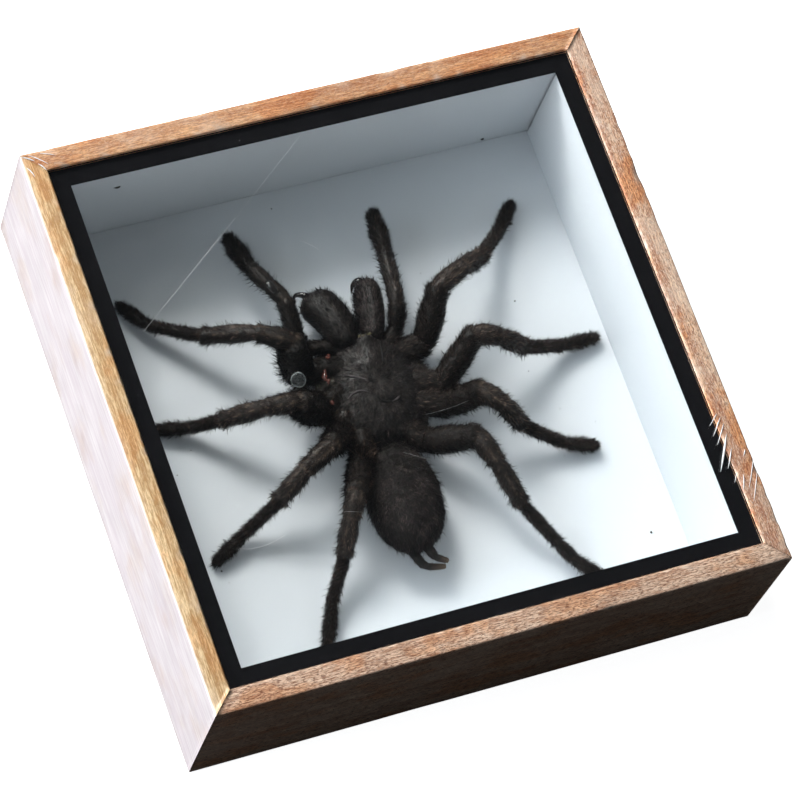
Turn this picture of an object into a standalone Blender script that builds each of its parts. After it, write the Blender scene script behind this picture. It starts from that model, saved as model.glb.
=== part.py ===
"""A dried tarantula fixed in a glazed wooden shadow box.

The box lies on its back. X runs across the frame, Y runs up the frame towards
the top rail, and Z points out of the glass. The origin is the middle of the back.
Each piece is one closed solid, and pieces that touch keep a gap of JOINT.
"""

import math

import bmesh
import bpy
from mathutils import Matrix, Vector

MM = 0.001  # every size below is in millimetres

# The four rails
SIDE = 140.0
DEPTH = 38.5
JOINT = 0.3
RIM = 5.0
GLASS_BED = 36.0
OPENING = 124.0
BACK_REBATE = 132.0
BACK_REBATE_DEPTH = 3.5
EASED_EDGE = 0.6

# Mat, glass, liner and back
MAT_OPENING = 121.0
MAT_THICK = 0.5
GLASS_THICK = 1.1
LINER_OPENING = 122.0
LINER_THICK = 0.7
FLOOR_TOP = 4.5
FLOOR_THICK = 1.0
BOARD_THICK = 2.4
POINT_LONG = 9.0
POINT_WIDE = 7.0
POINT_THICK = 0.4

# The spider. Places are (x, y, height above the liner floor). Headings turn from +X to +Y.
BODY_HEADING = 83.0
CARAPACE = {"at": (-0.4, 3.7, 6.2), "half": (11.3, 13.6, 5.6), "heading": BODY_HEADING, "pitch": 0}
ABDOMEN = {"at": (-3.5, -23.9, 7.6), "half": (8.8, 13.7, 7.0), "heading": BODY_HEADING, "pitch": 0}
EYE_MOUND = {"at": (0.2, 14.0, 10.2), "half": (1.9, 1.6, 1.7), "heading": BODY_HEADING, "pitch": 0}
CHELICERAE = {
    "chelicera_left": {"at": (-5.3, 22.4, 7.7), "half": (4.7, 8.1, 4.4), "heading": 106, "pitch": -7},
    "chelicera_right": {"at": (4.2, 22.4, 8.0), "half": (3.7, 8.2, 4.2), "heading": 76, "pitch": -4},
}
FANGS = {
    "fang_left": ((-6.0, 28.6, 5.6), (-8.2, 30.8, 5.6), (-10.2, 31.9, 4.8), (-11.3, 31.0, 3.4)),
    "fang_right": ((5.8, 28.8, 7.0), (4.8, 30.9, 6.8), (3.5, 30.6, 5.6), (2.8, 29.0, 4.4)),
}
FANG_RADII = (1.0, 0.85, 0.6, 0.2)
SPINNERETS = {
    "spinneret_left": ((-5.4, -35.4, 6.6), (-5.2, -38.2, 6.3), (-3.5, -40.7, 5.7), (1.2, -42.0, 5.1)),
    "spinneret_right": ((-2.5, -35.2, 7.9), (-2.2, -37.6, 7.8), (-1.1, -39.7, 7.3), (1.7, -41.1, 6.7)),
}
SPINNERET_RADII = (1.2, 1.15, 0.95, 0.65)
DROP = {"at": (-21.5, 5.9, 19.8), "half": (1.8, 1.8, 0.8), "heading": 46, "pitch": 26}

# A limb is its root inside the carapace, then (length, heading, pitch) for each segment.
LEG_RADII = (
    (2.3, 2.4, 2.4),
    (2.6, 3.4, 2.8),
    (2.6, 2.6, 2.3),
    (2.2, 2.4, 2.0),
    (1.7, 1.5, 1.5),
    (1.6, 1.8, 1.3),
)
LEGS = {
    "leg_left_1": (
        (-5.2, 11.0, 7.0),
        (
            (11.8, 175, -6), (12.2, 112, 66), (8.5, 150, -3),
            (14, 153, -33), (13.4, 143, -20), (9.6, 120, -15),
        ),
    ),
    "leg_left_2": (
        (-7.4, 5.9, 7.0),
        (
            (8.6, -151, -7), (13, 178, 54), (7.4, 175, -4),
            (12, 165, -39), (8, 164, -38), (9.2, 164, -11),
        ),
    ),
    "leg_left_3": (
        (-8.7, 0.0, 7.0),
        (
            (5, -124, -12), (12.3, -138, 47), (9, -153, -3),
            (10, -150, -33), (10.2, -158, -33), (10.5, -152, -11),
        ),
    ),
    "leg_left_4": (
        (-7.0, -5.2, 7.0),
        (
            (6, -108, -10), (16.6, -122, 33), (6, -121, -10),
            (9.2, -113, -40), (10.8, -121, -25), (11.5, -114, -9),
        ),
    ),
    "leg_right_1": (
        (6.0, 11.0, 7.0),
        (
            (9.0, 5, -6), (15.4, 65, 52), (8.6, 25, -3),
            (11.7, 28, -40), (12.7, 41, -26), (10.5, 48, -15),
        ),
    ),
    "leg_right_2": (
        (6.9, 3.7, 7.0),
        (
            (8.9, -17, -6), (15.2, 37, 46), (6.3, -18, -9),
            (10.5, -13, -42), (12.3, 1, -27), (10.2, 3, -10),
        ),
    ),
    "leg_right_3": (
        (6.4, -1.4, 7.0),
        (
            (9.1, -18, -6), (11.6, -20, 59), (6.3, -45, -9),
            (9.3, -37, -49), (11.9, -29, -22), (9.1, -15, -11),
        ),
    ),
    "leg_right_4": (
        (2.1, -6.3, 7.0),
        (
            (7, -51, -4), (13.7, -25, 38), (8, -73, -4),
            (11.5, -67, -29), (17.8, -58, -18), (9.3, -45, -11),
        ),
    ),
}
STOUT_FEMUR = {"leg_left_1": 1.15, "leg_left_2": 1.1}
PALP_RADII = (
    (2.0, 2.0, 2.0),
    (2.1, 2.4, 2.2),
    (2.3, 2.4, 2.3),
    (2.3, 2.4, 2.1),
    (2.1, 2.5, 1.6),
)
PALPS = {
    "palp_left": (
        (-2.5, 15.3, 7.0),
        (
            (12.5, 168, 0), (11.9, 94, 25), (5, 115, -6),
            (7.1, 111, -16), (12.3, 97, -22),
        ),
    ),
    "palp_right": (
        (4.4, 12.8, 7.0),
        (
            (6, 38, 10), (6.3, 77, 39), (4.7, 82, 0),
            (8.9, 80, -13), (13.6, 82, -13),
        ),
    ),
}

# Material: colour (linear), roughness, metallic
MATERIALS = {
    "pine": ((0.56, 0.31, 0.15), 0.6, 0.0),
    "glass": ((0.85, 0.92, 0.9), 0.05, 0.0),
    "black_card": ((0.012, 0.011, 0.012), 0.8, 0.0),
    "white_card": ((0.76, 0.8, 0.85), 0.85, 0.0),
    "hardboard": ((0.2, 0.11, 0.055), 0.75, 0.0),
    "steel": ((0.55, 0.55, 0.56), 0.35, 1.0),
    "cuticle": ((0.03, 0.024, 0.02), 0.7, 0.0),
    "abdomen_skin": ((0.045, 0.036, 0.029), 0.8, 0.0),
    "fang_horn": ((0.012, 0.009, 0.008), 0.2, 0.0),
    "clear_glue": ((0.75, 0.75, 0.7), 0.15, 0.0),
}

SPHERE_ROUND = 18
SPHERE_LONG = 12
RING_FRACTIONS = (0.22, 0.5, 0.78)
CORNER_PINCH = 0.96


def clear_scene():
    for obj in list(bpy.data.objects):
        bpy.data.objects.remove(obj, do_unlink=True)


def new_collection(name):
    made = bpy.data.collections.new(name)
    bpy.context.scene.collection.children.link(made)
    return made


def new_material(name):
    colour, roughness, metallic = MATERIALS[name]
    material = bpy.data.materials.new(name)
    material.use_nodes = True
    shader = material.node_tree.nodes["Principled BSDF"]
    shader.inputs["Base Color"].default_value = (*colour, 1.0)
    shader.inputs["Roughness"].default_value = roughness
    shader.inputs["Metallic"].default_value = metallic
    material.diffuse_color = (*colour, 1.0)
    return material


def add_object(name, mesh, material=None):
    """A piece when it has a material, and otherwise a cutter that never shows."""
    obj = bpy.data.objects.new(name, mesh)
    if material:
        mesh.materials.append(materials[material])
        specimen.objects.link(obj)
    else:
        obj.hide_render = True
        obj.display_type = "WIRE"
        cutters.objects.link(obj)
    return obj


def cut(obj, cutter, operation="DIFFERENCE"):
    boolean = obj.modifiers.new(f"{operation.lower()}_{cutter.name}", "BOOLEAN")
    boolean.operation = operation
    boolean.solver = "EXACT"
    boolean.object = cutter


def mesh_from_curve(curve):
    """The curve's own mesh with its caps welded on, and the curve removed."""
    guide = bpy.data.objects.new("guide", curve)
    cutters.objects.link(guide)
    graph = bpy.context.evaluated_depsgraph_get()
    mesh = bpy.data.meshes.new_from_object(guide.evaluated_get(graph))
    bpy.data.objects.remove(guide)
    bpy.data.curves.remove(curve)
    form = bmesh.new()
    form.from_mesh(mesh)
    bmesh.ops.remove_doubles(form, verts=form.verts, dist=0.001 * MM)
    bmesh.ops.recalc_face_normals(form, faces=form.faces)
    form.to_mesh(mesh)
    form.free()
    return mesh


def outline_mesh(name, loops, thick):
    """A flat outline, with any holes, extruded half its thickness each way."""
    curve = bpy.data.curves.new(name, "CURVE")
    curve.dimensions = "2D"
    curve.fill_mode = "BOTH"
    curve.extrude = 0.5 * thick * MM
    for loop in loops:
        spline = curve.splines.new("POLY")
        spline.points.add(len(loop) - 1)
        for point, (x, y) in zip(spline.points, loop):
            point.co = (x * MM, y * MM, 0.0, 1.0)
        spline.use_cyclic_u = True
    return mesh_from_curve(curve)


def square(side):
    half = 0.5 * side
    return ((-half, -half), (half, -half), (half, half), (-half, half))


def slab(name, size, centre, material):
    form = bmesh.new()
    bmesh.ops.create_cube(form, size=1.0)
    bmesh.ops.scale(form, vec=Vector(size) * MM, verts=form.verts)
    mesh = bpy.data.meshes.new(name)
    form.to_mesh(mesh)
    form.free()
    obj = add_object(name, mesh, material)
    obj.location = Vector(centre) * MM
    return obj


def rail_profile():
    """The rail's section, as (distance from the middle, height)."""
    outer = 0.5 * SIDE
    rim = outer - RIM
    rebate = 0.5 * BACK_REBATE
    return (
        (rebate, 0.0),
        (outer - EASED_EDGE, 0.0),
        (outer, EASED_EDGE),
        (outer, DEPTH - EASED_EDGE),
        (outer - EASED_EDGE, DEPTH),
        (rim + EASED_EDGE, DEPTH),
        (rim, DEPTH - EASED_EDGE),
        (rim, GLASS_BED),
        (0.5 * OPENING, GLASS_BED),
        (0.5 * OPENING, BACK_REBATE_DEPTH),
        (rebate, BACK_REBATE_DEPTH),
    )


def add_rails():
    """One moulding with a 45 degree cut at each end, turned onto the four sides."""
    moulding = outline_mesh("moulding", [rail_profile()], 1.2 * SIDE)
    # The outline's x becomes the distance up the frame and its y the height.
    moulding.transform(Matrix(((0, 0, 1, 0), (1, 0, 0, 0), (0, 1, 0, 0), (0, 0, 0, 1))))
    tip = JOINT / math.sqrt(2)
    corner = ((0, tip), (SIDE, SIDE + tip), (-SIDE, SIDE + tip))
    corner_block = outline_mesh("corner_block", [corner], 3 * DEPTH)
    for turns, side in enumerate(("top", "left", "bottom", "right")):
        turn = Matrix.Rotation(turns * math.pi / 2, 4, "Z")
        mesh = moulding.copy()
        mesh.transform(turn)
        block = corner_block.copy()
        block.transform(turn)
        cutter = add_object(f"mitre_{side}", block)
        cut(add_object(f"rail_{side}", mesh, "pine"), cutter, "INTERSECT")


def add_glazing():
    mat_size = SIDE - 2 * RIM - 2 * JOINT
    mat = outline_mesh("border_mat", [square(mat_size), square(MAT_OPENING)], MAT_THICK)
    mat_bottom = GLASS_BED + JOINT
    add_object("border_mat", mat, "black_card").location.z = (mat_bottom + 0.5 * MAT_THICK) * MM
    glass_middle = mat_bottom + MAT_THICK + JOINT + 0.5 * GLASS_THICK
    slab("glass", (mat_size, mat_size, GLASS_THICK), (0, 0, glass_middle), "glass")


def add_liner():
    """White card on the floor and on the four walls, the side walls between the other two."""
    outside = LINER_OPENING + 2 * LINER_THICK
    bottom = FLOOR_TOP + JOINT
    top = GLASS_BED
    size_z = top - bottom
    middle_z = 0.5 * (top + bottom)
    offset = 0.5 * (LINER_OPENING + LINER_THICK)
    slab("liner_floor", (outside, outside, FLOOR_THICK), (0, 0, FLOOR_TOP - 0.5 * FLOOR_THICK), "white_card")
    for side, sign in (("top", 1), ("bottom", -1)):
        size = (outside, LINER_THICK, size_z)
        slab(f"liner_wall_{side}", size, (0, sign * offset, middle_z), "white_card")
    length = LINER_OPENING - 2 * JOINT
    for side, sign in (("left", -1), ("right", 1)):
        slab(f"liner_wall_{side}", (LINER_THICK, length, size_z), (sign * offset, 0, middle_z), "white_card")


def add_back():
    """The board in its rebate, held by four flat points pushed in at the rebate's wall."""
    board = BACK_REBATE - 2 * JOINT
    board_top = BACK_REBATE_DEPTH - JOINT
    slab("back_board", (board, board, BOARD_THICK), (0, 0, board_top - 0.5 * BOARD_THICK), "hardboard")
    point_top = board_top - BOARD_THICK - 0.5 * JOINT
    reach = 0.5 * BACK_REBATE - JOINT
    blade = (
        (0, reach),
        (-0.5 * POINT_WIDE, reach - 0.35 * POINT_LONG),
        (-0.3 * POINT_WIDE, reach - POINT_LONG),
        (0.3 * POINT_WIDE, reach - POINT_LONG),
        (0.5 * POINT_WIDE, reach - 0.35 * POINT_LONG),
    )
    for turns, side in enumerate(("top", "left", "bottom", "right")):
        mesh = outline_mesh(f"point_{side}", [blade], POINT_THICK)
        mesh.transform(Matrix.Rotation(turns * math.pi / 2, 4, "Z"))
        point = add_object(f"point_{side}", mesh, "steel")
        point.location.z = (point_top - 0.5 * POINT_THICK) * MM


def in_box(place):
    x, y, height = place
    return Vector((x, y, FLOOR_TOP + height)) * MM


def egg_mesh(name, spec, shape, grow=0.0):
    """A sphere with its poles fore and aft, shaped along its length, then turned and placed."""
    form = bmesh.new()
    bmesh.ops.create_uvsphere(form, u_segments=SPHERE_ROUND, v_segments=SPHERE_LONG, radius=1.0)
    half_wide, half_long, half_high = (half + grow for half in spec["half"])
    for vert in form.verts:
        across, up, along = vert.co
        wide, high = shape(along)
        vert.co = Vector((along * half_long, across * wide * half_wide, up * high * half_high)) * MM
    turn = Matrix.Rotation(math.radians(spec["heading"]), 4, "Z")
    tip = Matrix.Rotation(-math.radians(spec["pitch"]), 4, "Y")
    form.transform(Matrix.Translation(in_box(spec["at"])) @ turn @ tip)
    mesh = bpy.data.meshes.new(name)
    form.to_mesh(mesh)
    form.free()
    mesh.shade_smooth()
    return mesh


def boxy(along, power):
    """How much wider than a plain sphere a form with blunter ends is, this far along it."""
    round_width = math.sqrt(max(1e-9, 1 - along * along))
    blunt_width = max(0.0, 1 - abs(along) ** power) ** (1 / power)
    return blunt_width / round_width if round_width > 1e-3 else 1.0


def carapace_shape(along):
    narrow_head = 1 - 0.2 * max(0.0, along)
    return boxy(along, 2.6) * narrow_head, boxy(along, 2.6)


def abdomen_shape(along):
    slim_front = 1 - 0.22 * max(0.0, along)
    return boxy(along, 2.2) * slim_front, boxy(along, 2.2) * slim_front


def chelicera_shape(along):
    return boxy(along, 2.8), boxy(along, 2.8)


def plain_shape(along):
    return 1.0, 1.0


def tube_mesh(name, route):
    """A tube along the route's (place, radius) pairs, with capped ends."""
    curve = bpy.data.curves.new(name, "CURVE")
    curve.dimensions = "3D"
    curve.bevel_depth = MM
    curve.bevel_resolution = 3
    curve.use_fill_caps = True
    spline = curve.splines.new("POLY")
    spline.points.add(len(route) - 1)
    for point, (place, radius) in zip(spline.points, route):
        point.co = (*in_box(place), 1.0)
        point.radius = radius
    mesh = mesh_from_curve(curve)
    mesh.shade_smooth()
    return mesh


def limb_route(root, segments, radii):
    """Rings along each segment, the corners between segments rounded, and a blunt tip."""
    joints = [Vector(root)]
    for length, heading, pitch in segments:
        level = math.cos(math.radians(pitch))
        turn = math.radians(heading)
        step = Vector((level * math.cos(turn), level * math.sin(turn), math.sin(math.radians(pitch))))
        joints.append(joints[-1] + length * step)
    route = [(joints[0], radii[0][0])]
    for start, end, (first, middle, last) in zip(joints, joints[1:], radii):
        for fraction, radius in zip(RING_FRACTIONS, (first, middle, last)):
            route.append((start.lerp(end, fraction), radius))
    rounded = route[:4]
    for index in range(4, len(route), 3):
        corner = joints[index // 3]
        before, after = route[index - 1], route[index]
        soft_corner = corner.lerp(before[0].lerp(after[0], 0.5), 0.4)
        rounded.append((soft_corner, CORNER_PINCH * 0.5 * (before[1] + after[1])))
        rounded.extend(route[index : index + 3])
    last_segment = joints[-1] - joints[-2]
    tip_radius = radii[-1][-1]
    rounded.append((joints[-1] - 0.06 * last_segment, 0.85 * tip_radius))
    rounded.append((joints[-1], 0.45 * tip_radius))
    return rounded


def curl_route(places, radii):
    """A smooth curve through four places, with the radius eased between them."""
    route = []
    ghosts = [Vector(places[0]) * 2 - Vector(places[1])]
    ghosts += [Vector(place) for place in places]
    ghosts.append(Vector(places[-1]) * 2 - Vector(places[-2]))
    for index in range(1, len(ghosts) - 2):
        before, start, end, after = ghosts[index - 1 : index + 3]
        for step in range(3):
            t = step / 3
            bend = 0.5 * (
                2 * start
                + (end - before) * t
                + (2 * before - 5 * start + 4 * end - after) * t**2
                + (3 * start - before - 3 * end + after) * t**3
            )
            route.append((bend, radii[index - 1] * (1 - t) + radii[index] * t))
    route.append((ghosts[-2], radii[-1]))
    return route


def add_spider():
    carapace_room = add_object("carapace_room", egg_mesh("carapace_room", CARAPACE, carapace_shape, JOINT))
    abdomen_room = add_object("abdomen_room", egg_mesh("abdomen_room", ABDOMEN, abdomen_shape, JOINT))
    eye_mound = add_object("eye_mound", egg_mesh("eye_mound", EYE_MOUND, plain_shape))

    carapace = add_object("carapace", egg_mesh("carapace", CARAPACE, carapace_shape), "cuticle")
    cut(carapace, eye_mound, "UNION")
    abdomen = add_object("abdomen", egg_mesh("abdomen", ABDOMEN, abdomen_shape), "abdomen_skin")
    cut(abdomen, carapace_room)

    chelicera_rooms = {}
    for name, spec in CHELICERAE.items():
        room = egg_mesh(f"{name}_room", spec, chelicera_shape, JOINT)
        chelicera_rooms[name] = add_object(f"{name}_room", room)
        cut(add_object(name, egg_mesh(name, spec, chelicera_shape), "cuticle"), carapace_room)
    cut(bpy.data.objects["chelicera_right"], chelicera_rooms["chelicera_left"])

    for name, places in FANGS.items():
        fang = add_object(name, tube_mesh(name, curl_route(places, FANG_RADII)), "fang_horn")
        cut(fang, chelicera_rooms[name.replace("fang", "chelicera")])
    for name, places in SPINNERETS.items():
        route = curl_route(places, SPINNERET_RADII)
        cut(add_object(name, tube_mesh(name, route), "abdomen_skin"), abdomen_room)

    for name, (root, segments) in LEGS.items():
        stout = STOUT_FEMUR.get(name, 1.0)
        coxa, femur, *rest = LEG_RADII
        radii = (coxa, tuple(stout * radius for radius in femur), *rest)
        leg = add_object(name, tube_mesh(name, limb_route(root, segments, radii)), "cuticle")
        cut(leg, carapace_room)
        if name.endswith("4"):
            cut(leg, abdomen_room)
    for name, (root, segments) in PALPS.items():
        palp = add_object(name, tube_mesh(name, limb_route(root, segments, PALP_RADII)), "cuticle")
        cut(palp, carapace_room)
        cut(palp, chelicera_rooms[name.replace("palp", "chelicera")])


def add_glue_drop():
    add_object("glue_drop", egg_mesh("glue_drop", DROP, plain_shape), "clear_glue")


clear_scene()
specimen = new_collection("framed_tarantula_specimen")
cutters = new_collection("cutters")
materials = {name: new_material(name) for name in MATERIALS}
add_rails()
add_glazing()
add_liner()
add_back()
add_spider()
add_glue_drop()
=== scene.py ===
# %% [markdown]
# # A dried tarantula in a glazed wooden box
# The object is a shallow pine box with a black card border, a pane of glass, a white card
# liner and one large dried spider fixed on the liner's floor.
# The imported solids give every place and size. This lesson dresses them: the rails, card,
# glass and board get their finish, and the spider gets its skin, joints and coat of hair.
# All coordinates below are in millimetres until a mesh is made, because the pieces are small.

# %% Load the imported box
import math

import bpy
import numpy as np
from mathutils import Matrix, Quaternion, Vector
from mathutils.geometry import tessellate_polygon


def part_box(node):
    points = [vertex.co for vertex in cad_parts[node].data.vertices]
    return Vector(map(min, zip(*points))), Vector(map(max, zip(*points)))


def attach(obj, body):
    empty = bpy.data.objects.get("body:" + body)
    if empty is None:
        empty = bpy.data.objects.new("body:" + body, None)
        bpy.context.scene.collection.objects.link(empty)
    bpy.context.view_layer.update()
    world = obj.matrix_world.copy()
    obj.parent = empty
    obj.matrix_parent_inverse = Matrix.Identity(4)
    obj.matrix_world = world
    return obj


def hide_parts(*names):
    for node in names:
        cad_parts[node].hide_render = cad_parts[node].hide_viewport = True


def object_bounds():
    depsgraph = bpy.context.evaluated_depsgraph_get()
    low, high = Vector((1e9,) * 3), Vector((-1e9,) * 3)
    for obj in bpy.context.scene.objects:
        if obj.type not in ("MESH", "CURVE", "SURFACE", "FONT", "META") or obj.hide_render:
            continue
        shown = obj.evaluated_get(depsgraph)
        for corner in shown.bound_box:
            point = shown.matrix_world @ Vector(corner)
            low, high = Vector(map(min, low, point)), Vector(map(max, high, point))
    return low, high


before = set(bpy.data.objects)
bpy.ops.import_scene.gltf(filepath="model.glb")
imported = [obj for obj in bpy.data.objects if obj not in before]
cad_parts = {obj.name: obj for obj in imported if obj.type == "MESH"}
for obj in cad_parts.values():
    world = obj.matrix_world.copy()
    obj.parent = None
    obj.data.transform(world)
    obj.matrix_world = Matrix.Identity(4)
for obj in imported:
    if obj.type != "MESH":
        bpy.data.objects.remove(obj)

MM = 0.001
case_low, case_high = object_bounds()
print("box in mm", [round(side / MM, 2) for side in case_high - case_low])


# %% [markdown]
# ## Reading the frame
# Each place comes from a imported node's own box, so nothing has to be fitted by hand.
# The helper gives the two corners as arrays, which suit the mesh code below.

# %% Node corners in millimetres
def corners(node):
    low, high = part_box(node)
    return np.array(low) / MM, np.array(high) / MM


rail_low, rail_high = corners("rail_top")
mat_low, mat_high = corners("border_mat")
glass_low, glass_high = corners("glass")
board_high = corners("back_board")[1]
FLOOR = corners("liner_floor")[1][2]
print("liner floor at", round(FLOOR, 2), "glass top at", round(glass_high[2], 2))


# %% [markdown]
# ## Making a piece
# A mesh could be built face by face with bmesh, but a hairy spider has several hundred
# thousand faces. Arrays are much faster: numpy works out all the points at once, and
# foreach_set copies them into the mesh in one go. Every piece then rides on the body,
# takes its material and, where it stands for a plain solid, hides that solid.

# %% A piece from arrays
def add_piece(name, points, faces, material, stands_for=(), turn=0.0, smooth=True):
    """A piece from points in millimetres and lists of faces with three or four corners."""
    mesh = bpy.data.meshes.new(name)
    loops = np.concatenate([rows.ravel() for rows in faces]).astype(np.int32)
    sizes = np.concatenate([np.full(len(rows), rows.shape[1]) for rows in faces])
    starts = np.concatenate([[0], np.cumsum(sizes)[:-1]]).astype(np.int32)
    mesh.vertices.add(len(points))
    mesh.vertices.foreach_set("co", (np.asarray(points) * MM).astype(np.float32).ravel())
    mesh.loops.add(len(loops))
    mesh.loops.foreach_set("vertex_index", loops)
    mesh.polygons.add(len(sizes))
    mesh.polygons.foreach_set("loop_start", starts)
    mesh.polygons.foreach_set("use_smooth", np.full(len(sizes), smooth))
    mesh.update(calc_edges=True)
    mesh.materials.append(material)
    obj = bpy.data.objects.new(name, mesh)
    obj.rotation_euler.z = turn
    bpy.context.scene.collection.objects.link(obj)
    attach(obj, "root")
    if stands_for:
        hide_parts(*stands_for)
    print(f"{name}: {int((sizes - 2).sum())} triangles")
    return obj


def mark(obj, label, values):
    """A number at each point, which a material can read."""
    layer = obj.data.attributes.new(label, "FLOAT", "POINT")
    layer.data.foreach_set("value", np.asarray(values, np.float32))


# %% [markdown]
# ## Small unevenness
# Nothing hand made is quite flat or straight. A sum of a few sine waves in random
# directions gives a smooth unevenness of a chosen size. It costs far less than a texture
# read at each point, and with a fixed seed it is the same on every run.

# %% Smooth unevenness
WAVES = 8
WAVES_PEAK = 3.2


def ripple(places, size, seed):
    """Smooth unevenness, about -1 to 1, with bumps of about this size in millimetres."""
    waves = np.random.default_rng(seed)
    total = np.zeros(len(places))
    for _ in range(WAVES):
        direction = waves.normal(size=3)
        direction *= 2 * np.pi / size * waves.uniform(0.6, 1.7) / np.linalg.norm(direction)
        total += np.sin(places @ direction + waves.uniform(0, 2 * np.pi))
    return total / WAVES_PEAK


def bell(distance, width):
    """1 at no distance, falling smoothly to nothing over about twice the width."""
    return np.exp(-((np.asarray(distance) / width) ** 2))


def round_angles(count):
    """Equal angles round a full turn."""
    return 2 * np.pi * np.arange(count) / count


def ring_faces(rings, sides):
    """Quads between neighbouring rings, facing out when the rings turn with the limb."""
    ring = np.arange(rings - 1)[:, None] * sides
    side = np.arange(sides)[None, :]
    after = (side + 1) % sides
    quads = np.stack([ring + side, ring + sides + side, ring + sides + after, ring + after], -1)
    return quads.reshape(-1, 4)


def end_fans(rings, sides, first, last):
    """Triangles that close a tube onto the two pole points with these numbers."""
    side = np.arange(sides)
    after = (side + 1) % sides
    top = (rings - 1) * sides
    start = np.stack([np.full(sides, first), side, after], -1)
    end = np.stack([np.full(sides, last), top + after, top + side], -1)
    return np.concatenate([start, end])


print("unevenness over 3 places", ripple(np.eye(3) * 20, 10, 1).round(2))


# %% [markdown]
# ## Building shaders
# A material's nodes are a small graph. This helper makes a node, sets its plain values
# and links the sockets it is given, so that each material below reads as a short list.

# %% A helper for node graphs
class Graph:
    def __init__(self, tree):
        self.tree = tree

    def add(self, kind, inputs=None, **settings):
        node = self.tree.nodes.new(kind)
        for label, value in settings.items():
            setattr(node, label, value)
        for label, value in (inputs or {}).items():
            if isinstance(value, bpy.types.NodeSocket):
                self.tree.links.new(value, node.inputs[label])
            else:
                node.inputs[label].default_value = value
        return node

    def math(self, operation, first, second=0.0, third=0.0):
        values = {0: first, 1: second, 2: third}
        return self.add("ShaderNodeMath", values, operation=operation).outputs[0]

    def scaled(self, vector, scale):
        made = self.add("ShaderNodeVectorMath", {0: vector, 1: scale}, operation="MULTIPLY")
        return made.outputs[0]

    def moved(self, vector, offset):
        made = self.add("ShaderNodeVectorMath", {0: vector, 1: offset}, operation="ADD")
        return made.outputs[0]

    def noise(self, vector, scale, detail=3.0, roughness=0.55):
        values = {"Vector": vector, "Scale": scale, "Detail": detail, "Roughness": roughness}
        return self.add("ShaderNodeTexNoise", values).outputs["Fac"]

    def spread(self, value, low, high, to_low=0.0, to_high=1.0):
        """The value moved smoothly from one span to another and held inside it."""
        values = {0: value, 1: low, 2: high, 3: to_low, 4: to_high}
        made = self.add("ShaderNodeMapRange", values, interpolation_type="SMOOTHSTEP")
        return made.outputs[0]

    def blend(self, share, first, second, blend_type="MIX"):
        values = {0: share, 6: first, 7: second}
        settings = {"data_type": "RGBA", "blend_type": blend_type}
        return self.add("ShaderNodeMix", values, **settings).outputs[2]

    def length(self, vector):
        return self.add("ShaderNodeVectorMath", {0: vector}, operation="LENGTH").outputs["Value"]

    def grey(self, value):
        return self.add("ShaderNodeCombineColor", {0: value, 1: value, 2: value}).outputs[0]

    def place(self):
        return self.add("ShaderNodeTexCoord").outputs["Object"]

    def point_value(self, label):
        """The number that mark() left at each point under this label."""
        return self.add("ShaderNodeAttribute", attribute_name=label).outputs["Fac"]

    def use(self, group, **inputs):
        node = self.add("ShaderNodeGroup", node_tree=group)
        for label, value in inputs.items():
            socket = node.inputs[label.replace("_", " ")]
            if isinstance(value, bpy.types.NodeSocket):
                self.tree.links.new(value, socket)
            else:
                socket.default_value = value
        return node.outputs


print("graph helper ready")


# %% New groups and materials
def new_group(name, inputs, outputs):
    """A node group with named sockets: its graph, its input node and its output node."""
    tree = bpy.data.node_groups.new(name, "ShaderNodeTree")
    for label, kind, value in inputs:
        socket = tree.interface.new_socket(label, in_out="INPUT", socket_type=f"NodeSocket{kind}")
        if value is not None:
            socket.default_value = value
    for label, kind in outputs:
        tree.interface.new_socket(label, in_out="OUTPUT", socket_type=f"NodeSocket{kind}")
    graph = Graph(tree)
    return graph, graph.add("NodeGroupInput").outputs, graph.add("NodeGroupOutput").inputs


def new_material(name, **values):
    """A material's graph and its shader, with plain values on the shader's own sockets."""
    material = bpy.data.materials.new(name)
    material.use_nodes = True
    graph = Graph(material.node_tree)
    shader = material.node_tree.nodes["Principled BSDF"]
    for label, value in values.items():
        shader.inputs[label.replace("_", " ")].default_value = value
    return material, graph, shader


def rough_surface(graph, shader, height, depth):
    """A bump of this depth in metres on the shader's normal."""
    bump = graph.add("ShaderNodeBump", {"Height": height, "Distance": depth})
    graph.tree.links.new(bump.outputs[0], shader.inputs["Normal"])


def connect(graph, shader, **links):
    for label, socket in links.items():
        graph.tree.links.new(socket, shader.inputs[label.replace("_", " ")])


print("groups and materials can be made")


# %% [markdown]
# ## Specks
# Dust, paper flecks and filled pores are all small spots scattered at random, so one
# node group serves every material. A Voronoi texture gives each cell a middle and a random
# colour. A spot shows near the middle of the cells whose random number is high enough.

# %% The specks group
def make_specks():
    inputs = [
        ("Place", "Vector", None),
        ("Per Metre", "Float", 300.0),
        ("Share", "Float", 0.1),
        ("Size", "Float", 0.2),
    ]
    graph, given, result = new_group("specks", inputs, [("Mask", "Float")])
    cells = graph.add("ShaderNodeTexVoronoi", {"Vector": given["Place"], "Scale": given["Per Metre"]})
    channels = graph.add("ShaderNodeSeparateColor", {0: cells.outputs["Color"]}).outputs
    size = graph.math("MULTIPLY", channels[1], given["Size"])
    near = graph.math("LESS_THAN", cells.outputs["Distance"], size)
    chosen = graph.math("LESS_THAN", channels[0], given["Share"])
    graph.tree.links.new(graph.math("MULTIPLY", near, chosen), result["Mask"])
    return graph.tree


SPECKS = make_specks()
print("group", SPECKS.name)


# %% [markdown]
# ## Pine
# The rails are cut from plain softwood board. Growth rings are sheets round the tree's
# middle, so a solid pattern of nested tubes gives matching lines on the rim and the side
# of one rail, as a real board has. Fine fibres and short pores run along the rail.
# The group takes its two colours, because each of the four rails comes from another board.
# The scales below count marks per metre, along the rail and then across it.

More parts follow.
